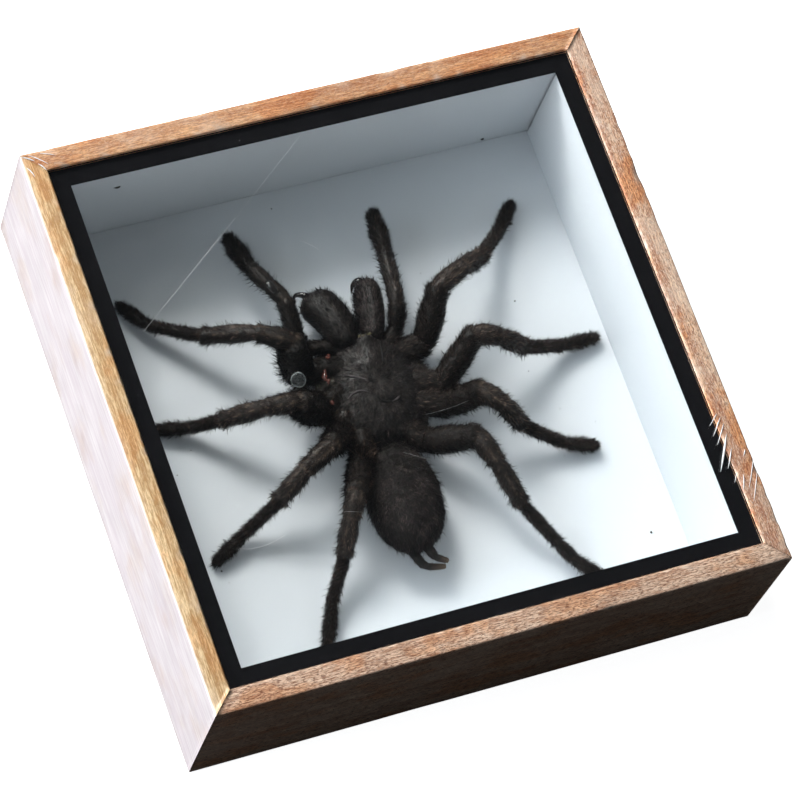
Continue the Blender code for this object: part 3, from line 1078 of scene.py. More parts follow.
# %% The limbs' routes
LEG_RADII = (
    (2.6, 2.9, 2.8),
    (2.7, 2.9, 2.4),
    (2.25, 2.3, 2.0),
    (1.9, 2.1, 1.7),
    (1.25, 1.15, 1.15),
    (1.2, 1.35, 1.05),
)
LEGS = {
    "leg_left_1": (
        (-5.2, 11.0, 7.0),
        (
            (11.8, 175, -6), (12.2, 112, 66), (8.5, 150, -3),
            (14, 153, -33), (13.4, 143, -20), (9.6, 120, -15),
        ),
    ),
    "leg_left_2": (
        (-7.4, 5.9, 7.0),
        (
            (8.6, -151, -7), (13, 178, 54), (7.4, 175, -4),
            (12, 165, -39), (8, 164, -38), (9.2, 164, -11),
        ),
    ),
    "leg_left_3": (
        (-8.7, 0.0, 7.0),
        (
            (5, -124, -12), (12.3, -138, 47), (9, -153, -3),
            (10, -150, -33), (10.2, -158, -33), (10.5, -152, -11),
        ),
    ),
    "leg_left_4": (
        (-7.0, -5.2, 7.0),
        (
            (6, -108, -10), (16.6, -122, 33), (6, -121, -10),
            (9.2, -113, -40), (10.8, -121, -25), (11.5, -114, -9),
        ),
    ),
    "leg_right_1": (
        (6.0, 11.0, 7.0),
        (
            (9.0, 5, -6), (15.4, 65, 52), (8.6, 25, -3),
            (11.7, 28, -40), (12.7, 41, -26), (10.5, 48, -15),
        ),
    ),
    "leg_right_2": (
        (6.9, 3.7, 7.0),
        (
            (8.9, -17, -6), (15.2, 37, 46), (6.3, -18, -9),
            (10.5, -13, -42), (12.3, 1, -27), (10.2, 3, -10),
        ),
    ),
    "leg_right_3": (
        (6.4, -1.4, 7.0),
        (
            (9.1, -18, -6), (11.6, -20, 59), (6.3, -45, -9),
            (9.3, -37, -49), (11.9, -29, -22), (9.1, -15, -11),
        ),
    ),
    "leg_right_4": (
        (2.1, -6.3, 7.0),
        (
            (7, -51, -4), (13.7, -25, 38), (8, -73, -4),
            (11.5, -67, -29), (17.8, -58, -18), (9.3, -45, -11),
        ),
    ),
}
STOUT_FEMUR = {"leg_left_1": 1.22, "leg_left_2": 1.18}
PALP_RADII = (
    (1.8, 1.8, 1.75),
    (1.75, 2.0, 1.8),
    (1.75, 1.9, 1.75),
    (1.75, 1.9, 1.6),
    (1.6, 2.0, 1.35),
)
PALPS = {
    "palp_left": (
        (-2.5, 15.3, 7.0),
        (
            (12.5, 168, 0), (11.9, 94, 25), (5, 115, -6),
            (7.1, 111, -16), (12.3, 97, -22),
        ),
    ),
    "palp_right": (
        (4.4, 12.8, 7.0),
        (
            (6, 38, 10), (6.3, 77, 39), (4.7, 82, 0),
            (8.9, 80, -13), (13.6, 82, -13),
        ),
    ),
}
print("limbs", len(LEGS) + len(PALPS))


# %% A limb's line
RING_STEP = 0.32
SHIN = 3
SHIN_FLARE = 1.22
JOINT_FLARE = 1.1
BEND_REACH = 1.2 / RING_STEP
SLEEVE_REACH = 0.8
SWELL_AT = (0.0, 0.05, 0.2, 0.5, 0.8, 0.94, 0.985, 1.0)


def on_floor(place):
    """A place whose third number is its height above the liner's floor."""
    return np.array(place, float) + np.array([0, 0, FLOOR])


def smoothed(values, width):
    """Values along a line, averaged over neighbours, with its two ends held."""
    reach = int(3 * width) + 1
    kernel = np.exp(-0.5 * (np.arange(-reach, reach + 1) / width) ** 2)
    kernel /= kernel.sum()
    values = np.asarray(values, float)
    flat = values.reshape(len(values), -1)
    before = 2 * flat[:1] - flat[reach:0:-1]
    after = 2 * flat[-1:] - flat[-2 : -reach - 2 : -1]
    padded = np.concatenate([before, flat, after])
    columns = [np.convolve(padded[:, k], kernel, mode="valid") for k in range(flat.shape[1])]
    return np.stack(columns, 1).reshape(values.shape)


def limb_line(route, radii, stout):
    """Points along the limb with each one's radius, part number and share of that part."""
    root, parts = route
    start = on_floor(root)
    rows, widths, numbers, shares = [], [], [], []
    for number, ((length, heading, pitch), sizes) in enumerate(zip(parts, radii)):
        level = math.cos(math.radians(pitch))
        turn = math.radians(heading)
        rise = math.sin(math.radians(pitch))
        step = np.array([level * math.cos(turn), level * math.sin(turn), rise])
        share = np.arange(round(length / RING_STEP)) / round(length / RING_STEP)
        first, middle, last = (size * (stout if number == 1 else 1.0) for size in sizes)
        flare = SHIN_FLARE if number == SHIN else JOINT_FLARE
        swell = (0.78, 0.92, 1.0, 1.0, 1.0, flare, flare, 0.9)
        swell = np.array(swell) * (first, first, first, middle, last, last, last, last)
        rows.append(start + share[:, None] * length * step)
        widths.append(np.interp(share, SWELL_AT, swell))
        numbers.append(np.full(len(share), number))
        shares.append(share)
        start = start + length * step
    line = smoothed(np.concatenate(rows), BEND_REACH)
    widths = smoothed(np.concatenate(widths), SLEEVE_REACH)
    return line, widths, np.concatenate(numbers), np.concatenate(shares)


line = limb_line(LEGS["leg_left_1"], LEG_RADII, STOUT_FEMUR["leg_left_1"])[0]
print("leg_left_1 has", len(line), "rings, tip at", line[-1].round(1))


# %% [markdown]
# ## A limb's skin
# The rings stand across the line, with one side always level and the other upright, so
# the angle round a ring says where the top and the underside are. The femora are
# deeper than wide, the feet are flat, and drying leaves long furrows in the skin.

# %% Skin of a limb
LIMB_SIDES = 22
DEEP = (1.0, 1.12, 1.02, 1.05, 1.0, 0.86)
TIP_ROUND = 1.6
BOXY = 2.3
FURROW = 0.0935
FURROWS_ROUND = (3, 5, 8)
SKIN_LUMPS = 0.05


def axes_along(line):
    """At each point of a line: the way ahead, the level way aside and the upright way."""
    ahead = unit(np.gradient(line, axis=0))
    level = unit(np.cross(ahead, [0, 0, 1.0]))
    return ahead, level, np.cross(level, ahead)


def furrows(number, share, angle, seed):
    """Long furrows of a few widths along each part, as drying leaves them."""
    wave = np.random.default_rng(seed)
    total = np.zeros((len(share), len(angle)))
    for part in range(number.max() + 1):
        inside = np.sin(np.pi * share) ** 0.6 * (number == part)
        for count in FURROWS_ROUND:
            phase = wave.uniform(0, 2 * np.pi) + wave.uniform(-0.5, 0.5) * share
            total += inside[:, None] * np.cos(count * angle[None, :] + phase[:, None]) / count
    return total


def limb_form(route, radii, stout, seed, skip_inside):
    line, width, number, share = limb_line(route, radii, stout)
    keep = ~skip_inside(line)
    keep |= number > 1
    line, width, number, share = line[keep], width[keep], number[keep], share[keep]
    travel = np.concatenate([[0], np.cumsum(np.linalg.norm(np.diff(line, axis=0), axis=1))])
    left_over = travel[-1] - travel
    width = width * np.sqrt(np.clip(1 - (1 - np.clip(left_over / TIP_ROUND, 0, 1)) ** 2, 0.02, 1))
    ahead, level, upright = axes_along(line)
    angle = round_angles(LIMB_SIDES)
    cosine, sine = np.cos(angle), np.sin(angle)
    boxy = (np.abs(cosine) ** BOXY + np.abs(sine) ** BOXY) ** (-1 / BOXY)
    deep = smoothed(np.array(DEEP)[number], 3.0)
    size = width[:, None] * boxy[None, :] * (1 + FURROW * furrows(number, share, angle, seed))
    points = (
        line[:, None, :]
        + (size * cosine)[..., None] * level[:, None, :]
        + (size * sine * deep[:, None])[..., None] * upright[:, None, :]
    ).reshape(-1, 3)
    quads = ring_faces(len(line), LIMB_SIDES)
    normals = normals_of(points, quads)
    points += SKIN_LUMPS * ripple(points, 1.7, seed)[:, None] * normals
    poles = np.stack([line[0], line[-1] + 0.12 * width[-1] * ahead[-1]])
    fans = end_fans(len(line), LIMB_SIDES, len(points), len(points) + 1)

    def each(values):
        return np.repeat(values, LIMB_SIDES, axis=0)

    return {
        "points": points,
        "all_points": np.concatenate([points, poles]),
        "quads": quads,
        "faces": [quads, fans],
        "normals": normals,
        "comb": each(ahead),
        "part": each(number),
        "share": each(share),
        "top": np.tile(sine, len(line)),
        "side": np.tile(cosine, len(line)),
        "from_end": each(left_over),
    }


print("a limb has", LIMB_SIDES, "points round each ring")


# %% [markdown]
# ## A limb's hair
# Three lots of hair share one skin: a short coat that lies back, longer wild hairs that
# stand off the underside and the joints, and a dense brush round the feet. The shin's
# coat is longer at its end, like the cuff of a sleeve. Bare stripes stay nearly hairless.

# %% Bare stripes and shades of a limb
LIMB_SHADE = {"palp_left": -0.30, "palp_right": -0.08, "leg_left_1": -0.08, "leg_right_4": -0.08}
TUFTED = {"leg_left_4": (-9.7, -12.2)}


def bare_skin(form, seed):
    """Where the skin is pale and nearly hairless: joints, and two stripes over knee and shin."""
    end = np.minimum(form["share"], 1 - form["share"])
    joints = bell(end, 0.03) * (form["part"] > 1) * (form["from_end"] > 2)
    joints *= np.clip(0.4 + ripple(form["points"], 3.0, seed + 1), 0, 1)
    striped = (form["part"] == SHIN - 1) | ((form["part"] == SHIN) & (form["share"] < 0.75))
    stripes = bell(np.abs(form["side"]) - 0.34, 0.10) * (form["top"] > 0) * striped
    patchy = np.clip(0.55 + 0.6 * ripple(form["points"], 4, seed), 0, 1)
    return np.clip(0.6 * joints + 0.7 * stripes * np.clip(end / 0.15, 0, 1) * patchy, 0, 1)


print("limbs with their own shade", sorted(LIMB_SHADE))


# %% Hair of a limb
COAT_STRANDS = 12500
WILD_STRANDS = 2200
BRUSH_STRANDS = 2600
FOOT_LENGTH = 0.95
COAT_LENGTH = 0.85
WILD_LENGTH = 1.6
BRUSH_LENGTH = 1.0
BRUSH_TONE = 0.25
CUFF_AT = 0.93


def limb_tone(form, bare, seed, black):
    """How pale the hair is: paler on stripes and on top, darker on feet and on a black femur."""
    tone = 0.40 + 0.10 * ripple(form["points"], 5.0, seed + 11) + 0.45 * bare
    tone += 0.10 * form["top"] - 0.12 * (form["part"] >= form["part"].max() - 1)
    return tone - 0.3 * black * (form["part"] <= 1) - 0.05 * (form["part"] == 0)


def limb_hair(form, bare, seed, fringe, amount, shade):
    part, share, top = form["part"], form["share"], form["top"]
    last = part.max()
    under = np.clip(-top, 0, 1)
    foot = part >= last - 1 if last > 4 else part >= last
    root = (part <= 1) * 1.0
    tone = limb_tone(form, bare, seed, fringe) + shade
    thick = (1 - 0.8 * bare) * np.where(foot, 1.4 + 0.6 * under, 1.0)
    length = np.where(foot, FOOT_LENGTH, COAT_LENGTH) + 0.25 * under + 0.35 * root
    length += 0.45 * bell(share - CUFF_AT, 0.05) * (part == SHIN)
    count = int(amount * COAT_STRANDS)
    coat = grow_hair(form, "leg coat", count, seed, length, thick, tone)
    length = WILD_LENGTH + 0.6 * under + fringe * (part == 1) * under
    thick = (0.6 + 0.9 * under + 1.3 * np.clip(share - 0.6, 0, 1)) * (1 - 0.7 * bare)
    count = int(amount * WILD_STRANDS)
    wild = grow_hair(form, "wild", count, seed + 1, length, thick, tone - 0.08)
    length = BRUSH_LENGTH + 0.3 * (part >= last)
    thick = foot * np.where(top < 0.35, 1.0, 0.55) + 1e-6
    count = int(amount * BRUSH_STRANDS)
    brush = grow_hair(form, "brush", count, seed + 2, length, thick, BRUSH_TONE)
    return [coat, wild, brush]


print("strands on a leg", COAT_STRANDS + WILD_STRANDS + BRUSH_STRANDS)


# %% [markdown]
# ## The carapace
# The body's main shield is a low dome. It isn't smooth: a pit marks its middle, furrows
# run from the pit to each leg, a V of deeper grooves sets off the head, and the
# eyes sit on a small mound in front. Drying has folded the skin into a few low ridges.
# The form starts as an egg whose rings run from back to front. A sculpting function
# then moves its points. Places on a form are shares of its half length and half width.

# %% Egg shaped forms
BODY_HEADING = 83.0
CARAPACE = {"at": (-0.4, 3.7, 6.2), "half": (11.1, 13.4, 5.5), "heading": BODY_HEADING, "pitch": 0}
ABDOMEN = {"at": (-3.5, -23.8, 7.6), "half": (8.6, 13.5, 6.8), "heading": BODY_HEADING, "pitch": 0}
COXAL_SKIN = {"at": (-1.2, 3.2, 5.4), "half": (14.2, 12.6, 3.6), "heading": BODY_HEADING, "pitch": 0}


def blunt(along, power):
    return np.clip(1 - np.abs(along) ** power, 0, 1) ** (1 / power)


def turned_into_place(points, spec):
    """Local points, with X ahead and Y to the left, set at their place on the liner."""
    turn = Matrix.Rotation(math.radians(spec["heading"]), 3, "Z")
    tip = Matrix.Rotation(-math.radians(spec["pitch"]), 3, "Y")
    return points @ np.array(turn @ tip).T + on_floor(spec["at"])


def heading_way(degrees):
    """The level way with this heading, turning from +X to +Y."""
    return np.array([math.cos(math.radians(degrees)), math.sin(math.radians(degrees)), 0])


def egg_form(spec, shape, rings, sides, sculpt):
    """A closed form from its back pole to its front pole."""
    along = -np.cos(np.pi * (np.arange(rings) + 0.5) / rings)
    wide, high = shape(along)
    angle = round_angles(sides)
    half_wide, half_long, half_high = spec["half"]
    points = np.stack(
        [
            np.repeat(along * half_long, sides),
            (wide[:, None] * half_wide * -np.cos(angle)[None, :]).ravel(),
            (high[:, None] * half_high * np.sin(angle)[None, :]).ravel(),
        ],
        1,
    )
    poles = np.array([[-half_long, 0, 0], [half_long, 0, 0]])
    shaped = sculpt(np.concatenate([points, poles]), spec)
    placed = turned_into_place(shaped, spec)
    quads = ring_faces(rings, sides)
    body = placed[:-2]
    return {
        "points": body,
        "all_points": placed,
        "quads": quads,
        "faces": [quads, end_fans(rings, sides, len(body), len(body) + 1)],
        "normals": normals_of(body, quads),
        "local": shaped[:-2],
    }


def add_form(name, form, material, stands_for=()):
    return add_piece(name, form["all_points"], form["faces"], material, stands_for)


def inside_egg(places, spec, power, grow):
    """Which places lie inside the egg made larger or smaller by this share."""
    turn = np.array(Matrix.Rotation(-math.radians(spec["heading"]), 3, "Z"))
    local = (places - on_floor(spec["at"])) @ turn.T
    half_wide, half_long, half_high = spec["half"]
    scaled = np.abs(local) / (np.array([half_long, half_wide, half_high]) * grow)
    return (scaled**power).sum(1) < 1


print("carapace", [2 * half for half in CARAPACE["half"]], "abdomen", [2 * half for half in ABDOMEN["half"]])


# %% The carapace
FOVEA = (-0.36, -0.12)
EYES_AT = (0.86, 0.05)
PALE_ARCS = ((-0.16, 0.4, 0.9), (0.09, 0.4, 0.5), (0.36, 0.3, 0.4))
GROOVES = ((32, 0.38), (66, 0.22), (98, 0.25), (130, 0.22))
DEGREES_A_RADIAN = 57.3


def carapace_shape(along):
    return blunt(along, 2.6) * (1 - 0.2 * np.clip(along, 0, 1)), blunt(along, 2.6)


def sculpt_carapace(points, spec):
    half_wide, half_long, half_high = spec["half"]
    u, v, up = points[:, 0] / half_long, points[:, 1] / half_wide, points[:, 2]
    top = np.clip(up / half_high, 0, 1)
    lift = -0.8 * (1 - bell(v, 0.75)) * top
    lift += 0.7 * bell(u - 0.5, 0.42) * bell(v, 0.4) * top
    lift -= 0.55 * bell(u - FOVEA[0] + 0.5 * (v - FOVEA[1]) ** 2, 0.035) * bell(v - FOVEA[1], 0.22) * top
    reach = np.hypot(u - FOVEA[0], v)
    heading = np.degrees(np.arctan2(np.abs(v), u - FOVEA[0]))
    for middle, depth in GROOVES:
        aside = (heading - middle) * np.clip(reach, 0.05, 1) / DEGREES_A_RADIAN
        groove = bell(aside, 0.06)
        lift -= depth * groove * bell(reach - 0.55, 0.38) * top
    for at_u, at_v, bend in PALE_ARCS:
        lift += 0.16 * bell(u - at_u + bend * (v - at_v) ** 2, 0.03) * bell(v - at_v, 0.36) * top
    lift += 0.16 * ripple(points, 3.2, 21) * top
    lift += 1.6 * bell(u - EYES_AT[0], 0.13) * bell(v - EYES_AT[1], 0.17) * (up > 0)
    shaped = points.copy()
    shaped[:, 2] += lift
    shaped[:, 2] = np.where(up < 0, shaped[:, 2] * 0.9, shaped[:, 2])
    shaped[:, :2] *= (1 + 0.035 * ripple(points, 6.0, 22))[:, None]
    return shaped


def radiating(form, spec, lean):
    """Combing from the form's middle outwards, leaning backwards by this much."""
    turn = np.array(Matrix.Rotation(math.radians(spec["heading"]), 3, "Z"))
    local = form["local"].copy()
    local[:, 2] *= 0.4
    local = unit(local) + np.array([-lean, 0, 0])
    return local @ turn.T


carapace = egg_form(CARAPACE, carapace_shape, 84, 88, sculpt_carapace)
carapace["comb"] = radiating(carapace, CARAPACE, 0.25)
add_form("carapace_shield", carapace, CUTICLE, ["carapace"])


# %% Hair of the carapace
def body_thickness(form):
    return 0.6 + 0.4 * np.clip(form["normals"][:, 2] + 0.4, 0, 1)


def carapace_tone():
    """Hair tone: faint pale arcs on the left, painted sheen on the head, painted shade in the pit."""
    half_wide, half_long, _ = CARAPACE["half"]
    u, v = carapace["local"][:, 0] / half_long, carapace["local"][:, 1] / half_wide
    tone = 0.36 + 0.10 * ripple(carapace["points"], 4.0, 23)
    # Painted sheen: the head's hair is paler towards its front left.
    tone += 0.10 * bell(u - 0.45, 0.35) * bell(v - 0.15, 0.4)
    for at_u, at_v, bend in PALE_ARCS:
        tone += 0.28 * bell(u - at_u + bend * (v - at_v) ** 2, 0.03) * bell(v - at_v, 0.36)
    # Painted shade: the hair is darker in the pit.
    tone -= 0.35 * bell(u - FOVEA[0] + 0.5 * (v - FOVEA[1]) ** 2, 0.05) * bell(v - FOVEA[1], 0.25)
    return tone


def carapace_hair():
    """A short coat, and longer hairs round the widest level."""
    edge = bell(carapace["local"][:, 2] / CARAPACE["half"][2], 0.3)
    length = 0.8 + 0.6 * edge
    tone = carapace_tone()
    thick = body_thickness(carapace)
    coat = grow_hair(carapace, "shield coat", 17000, 301, length, thick, tone)
    fringe = grow_hair(carapace, "shield fringe", 2600, 302, 1.6 + 0.6 * edge, 0.2 + edge, tone)
    return [coat, fringe]


add_hair("carapace_hair", carapace_hair(), HEAD_HAIR)


# %% [markdown]
# ## Around the carapace
# Soft skin joins the roots of the legs under the shield's edge. It is a low, hairy form
# that is wider than the shield, so no light comes through between the legs. On the left
# it has split, and bare red folds shine through the hair. Eight eyes sit on the mound in
# front, as small glossy beads. Here and there a tuft of paler hair shows.

# %% Small beads
def plain_shape(along):
    return blunt(along, 2.4), blunt(along, 2.4)


def bead_form(at, half, heading, seed, rough=0.08):
    """A small egg with an uneven skin, for an eye, a fold or a crumb."""
    spec = {"at": at, "half": half, "heading": heading, "pitch": 0}

    def uneven(points, spec):
        return points * (1 + rough * ripple(points, 1.2 * max(half), seed))[:, None]

    return egg_form(spec, plain_shape, 9, 12, uneven)


def add_bead(name, at, half, heading, material, seed, rough=0.08):
    bead = bead_form(at, half, heading, seed, rough)
    return add_form(name, bead, material)


bead = bead_form((0, 0, 0), (1, 1, 1), 0, 1)
print("a bead has", len(bead["all_points"]), "points")


# %% Skin of the leg roots
PALE_TUFTS = ((12.1, 1.5), (13.8, 0.0), TUFTED["leg_left_4"])


def sculpt_coxal(points, spec):
    return points * (1 + 0.05 * ripple(points, 7.0, 24))[:, None]


coxal = egg_form(COXAL_SKIN, plain_shape, 40, 60, sculpt_coxal)
coxal["comb"] = radiating(coxal, COXAL_SKIN, 0.1)
add_form("coxal_skin", coxal, ROOT_SKIN)
upper = np.clip(coxal["normals"][:, 2] + 0.3, 0, 1) * np.where(coxal["local"][:, 1] > 7, 0.35, 1.0)
tone = 0.40 + 0.14 * ripple(coxal["points"], 4.0, 25)
for x, y in PALE_TUFTS:
    tone += 0.6 * bell(np.hypot(coxal["points"][:, 0] - x, coxal["points"][:, 1] - y), 2.2)
tufts = grow_hair(coxal, "root tufts", 6000, 303, 1.5 + 0 * upper, upper, tone)
add_hair("coxal_hair", [tufts], BODY_HAIR)


# %% Red folds and eyes
RED_FOLDS = (
    ((-9.8, 13.0, 10.2), (0.75, 0.6, 0.5), 70),
    ((-12.0, 8.8, 9.9), (0.75, 1.3, 0.6), 80),
    ((-11.6, 7.4, 9.7), (0.5, 0.6, 0.45), 60),
    ((-12.5, 2.0, 9.6), (0.5, 0.6, 0.45), 100),
)
for number, (at, half, heading) in enumerate(RED_FOLDS):
    add_bead(f"red_fold_{number + 1}", at, half, heading, MEMBRANE, 70 + number, 0.22)

EYE_MOUND = (0.35, 15.5, 11.1)
EYE_PLACES = ((-0.55, 0.1, 0.5), (0.55, 0.1, 0.5), (-1.3, 0.5, 0.4), (1.3, 0.5, 0.4))
EYE_PLACES += ((-1.2, -0.4, 0.36), (1.2, -0.4, 0.36), (-0.6, -0.75, 0.3), (0.6, -0.75, 0.3))
for number, (aside, ahead, size) in enumerate(EYE_PLACES):
    x, y, z = EYE_MOUND
    at = (x + aside, y + ahead, z - 0.35 * abs(aside) - 0.25 * abs(ahead))
    add_bead(f"eye_{number + 1}", at, (size, size, size), 0, EYE, 80 + number, 0.0)


# %% [markdown]
# ## The abdomen
# It was soft and has dried to a velvety egg, with faint folds round its narrow front.
# Its coat is longer and combed straight back, with single long hairs standing out.

# %% The abdomen
def abdomen_shape(along):
    slim = blunt(along, 2.2) * (1 - 0.22 * np.clip(along, 0, 1))
    return slim, slim


def sculpt_abdomen(points, spec):
    half_wide, half_long, half_high = spec["half"]
    u, v = points[:, 0] / half_long, points[:, 1] / half_wide
    shaped = points.copy()
    folds = 0.14 * np.sin(u * 26 + 2.5 * v**2) * bell(u - 0.75, 0.25)
    lumps = 0.22 * ripple(points, 7, 31) + 0.1 * ripple(points, 2.6, 32)
    dent = -0.35 * bell(u - 0.55, 0.12) * bell(v - 0.25, 0.2)
    outward = unit(points / np.array([half_long, half_wide, half_high]))
    shaped += outward * (folds + lumps + dent)[:, None]
    return shaped


abdomen = egg_form(ABDOMEN, abdomen_shape, 64, 60, sculpt_abdomen)
abdomen["comb"] = np.tile(-heading_way(BODY_HEADING), (len(abdomen["points"]), 1))
add_form("abdomen_sac", abdomen, ABDOMEN_SKIN, ["abdomen"])


def abdomen_hair():
    same = np.ones(len(abdomen["points"]))
    thick = body_thickness(abdomen)
    tone = 0.42 + 0.12 * ripple(abdomen["points"], 5.0, 33)
    coat = grow_hair(abdomen, "velvet", 22000, 311, 1.05 * same, thick, tone)
    long = grow_hair(abdomen, "single long", 3200, 312, 2.1 * same, thick, tone)
    return [coat, long]


add_hair("abdomen_hair", abdomen_hair(), BODY_HAIR)


# %% [markdown]
# ## Jaws
# Each chelicera is a stout block of muscle under skin, narrower where it joins the head,
# with a fang folding at its front end. The fangs are bare black horn. The left jaw has
# dried wedge shaped and darker, with a black spot, and the right one is slim and paler.

# %% Chelicerae
CHELICERAE = {
    "chelicera_left": {
        "at": (-5.3, 22.5, 7.7),
        "half": (4.9, 8.1, 4.5),
        "heading": 106,
        "pitch": -7,
        "inner": -1,
        "wedge": 1.0,
        "tone": 0.20,
        "spot": 0.35,
    },
    "chelicera_right": {
        "at": (4.4, 22.4, 8.0),
        "half": (3.3, 8.1, 4.1),
        "heading": 76,
        "pitch": -4,
        "inner": 1,
        "wedge": 0.0,
        "tone": 0.68,
        "spot": 0.0,
    },
}


def jaw_shape(along):
    return blunt(along, 2.8), blunt(along, 2.8)


def sculpt_jaw(points, spec):
    half_wide, half_long, half_high = spec["half"]
    u, v = points[:, 0] / half_long, points[:, 1] / half_wide
    shaped = points.copy()
    shaped[:, 1] *= 1 - 0.12 * np.clip(-u, 0, 1)
    wedge = 0.10 * bell(u - 0.8, 0.25) - 0.26 * bell(u + 0.1, 0.5)
    shaped[:, 1] *= 1 + spec["wedge"] * wedge * (v > 0)
    shaped[:, 2] -= 0.5 * bell(v - 0.3, 0.12) * np.clip(points[:, 2] / half_high, 0, 1)
    shaped += 0.12 * ripple(points, 3.0, 41)[:, None] * unit(points)
    return shaped


def jaw_hair(jaw, spec, number):
    """A sleek coat, and bristles on the front and along the inner side."""
    seed = 321 + 4 * number
    same = np.ones(len(jaw["points"]))
    half_wide, half_long, _ = spec["half"]
    u, v = jaw["local"][:, 0] / half_long, jaw["local"][:, 1] / half_wide
    tone = spec["tone"] + 0.12 * ripple(jaw["points"], 3.5, 45 + number)
    tone -= spec["spot"] * bell(u - 0.55, 0.16) * bell(v - 0.35, 0.25)
    coat = grow_hair(jaw, "jaw coat", 5600, seed, 0.75 * same, body_thickness(jaw), tone)
    thick = 0.1 + 0.5 * np.clip(u, 0, 1) + np.clip(spec["inner"] * v, 0, 1) ** 2
    bristles = grow_hair(jaw, "bristles", 1100, seed + 1, 1.5 * same, thick, 0.3)
    return [coat, bristles]


for number, (name, spec) in enumerate(CHELICERAE.items()):
    jaw = egg_form(spec, jaw_shape, 48, 40, sculpt_jaw)
    jaw["comb"] = np.tile(heading_way(spec["heading"]), (len(jaw["points"]), 1))
    add_form(f"{name}_skin", jaw, CUTICLE, [name])
    add_hair(f"{name}_hair", jaw_hair(jaw, spec, number), HEAD_HAIR)


# %% [markdown]
# ## Fangs, spinnerets and other small tubes
# These follow a smooth curve through a few places. The curve passes through each one,
# and the radius eases from one to the next.

# %% Tubes through a few places
FANGS = {
    "fang_left": ((-6.0, 28.6, 5.6), (-8.2, 30.8, 5.6), (-10.2, 31.9, 4.8), (-11.3, 31.0, 3.4)),
    "fang_right": ((5.8, 28.8, 7.0), (4.8, 30.9, 6.8), (3.5, 30.6, 5.6), (2.8, 29.0, 4.4)),
}
FANG_RADII = (1.0, 0.85, 0.55, 0.08)
SPINNERETS = {
    "spinneret_left": ((-5.4, -35.4, 6.6), (-5.2, -38.2, 6.3), (-3.5, -40.8, 5.7), (0.9, -41.9, 5.3)),
    "spinneret_right": ((-2.5, -35.2, 7.9), (-2.2, -37.6, 7.8), (-1.1, -39.8, 7.3), (1.5, -41.2, 6.7)),
}
SPINNERET_RADII = (1.25, 1.15, 0.9, 0.62)
CURVE_STEPS = 9


def curve_through(places, radii, steps):
    """Places and radii along a smooth curve through the given places."""
    ghosts = [2 * np.array(places[0]) - np.array(places[1]), *map(np.array, places)]
    ghosts.append(2 * np.array(places[-1]) - np.array(places[-2]))
    line, width = [], []
    for index in range(1, len(ghosts) - 2):
        before, start, end, after = ghosts[index - 1 : index + 3]
        for step in range(steps):
            t = step / steps
            bend = 2 * start + (end - before) * t + (2 * before - 5 * start + 4 * end - after) * t**2
            line.append(0.5 * (bend + (3 * start - before - 3 * end + after) * t**3))
            width.append(radii[index - 1] * (1 - t) + radii[index] * t)
    return np.array([*line, ghosts[-2]]), np.array([*width, radii[-1]])


def tube_form(line, width, sides):
    ahead, level, upright = axes_along(line)
    angle = round_angles(sides)
    points = (
        line[:, None, :]
        + width[:, None, None] * np.cos(angle)[None, :, None] * level[:, None, :]
        + width[:, None, None] * np.sin(angle)[None, :, None] * upright[:, None, :]
    ).reshape(-1, 3)
    quads = ring_faces(len(line), sides)
    poles = np.stack([line[0], line[-1] + 0.3 * width[-1] * ahead[-1]])
    return {
        "points": points,
        "all_points": np.concatenate([points, poles]),
        "quads": quads,
        "faces": [quads, end_fans(len(line), sides, len(points), len(points) + 1)],
        "normals": normals_of(points, quads),
        "comb": np.repeat(ahead, sides, axis=0),
        "share": np.repeat(np.linspace(0, 1, len(line)), sides),
    }


for name, places in FANGS.items():
    line, width = curve_through([on_floor(place) for place in places], FANG_RADII, CURVE_STEPS)
    add_form(f"{name}_horn", tube_form(line, width, 16), HORN, [name])

for number, (name, places) in enumerate(SPINNERETS.items()):
    line, width = curve_through([on_floor(place) for place in places], SPINNERET_RADII, CURVE_STEPS)
    width = width * (1 - 0.16 * bell(np.sin(np.linspace(0, 3 * np.pi, len(width))), 0.3))
    form = tube_form(line, width, 18)
    finger = add_form(f"{name}_skin", form, ABDOMEN_SKIN, [name])
    pale = np.append(np.clip(form["share"] * 3 - 2.2, 0, 1), [0, 1])
    mark(finger, "bare", pale)
    thick = 1.05 - form["share"]
    coat = grow_hair(form, "finger coat", 1100, 331 + number, 0.7 + 0 * thick, thick)
    add_hair(f"{name}_hair", [coat], BODY_HAIR)


# %% [markdown]
# ## Many small forms as one piece
# Folds, painted shade lines, painted glints, fibres and crumbs are a few dozen closed forms.
# One piece for each kind keeps the list of pieces short. The tube below suits all the thin ones.

# %% Joined forms
def thin_tube(places, radii, sides):
    line, width = curve_through(places, radii, 6)
    return tube_form(line, width, sides)


def add_joined(name, forms, material):
    """One piece out of several closed forms."""
    shift = np.cumsum([0] + [len(form["all_points"]) for form in forms])
    lots = [rows + start for form, start in zip(forms, shift) for rows in form["faces"]]
    faces = [np.concatenate([rows for rows in lots if rows.shape[1] == count]) for count in (4, 3)]
    points = np.concatenate([form["all_points"] for form in forms])
    return add_piece(name, points, faces, material)


print("joined forms ready")
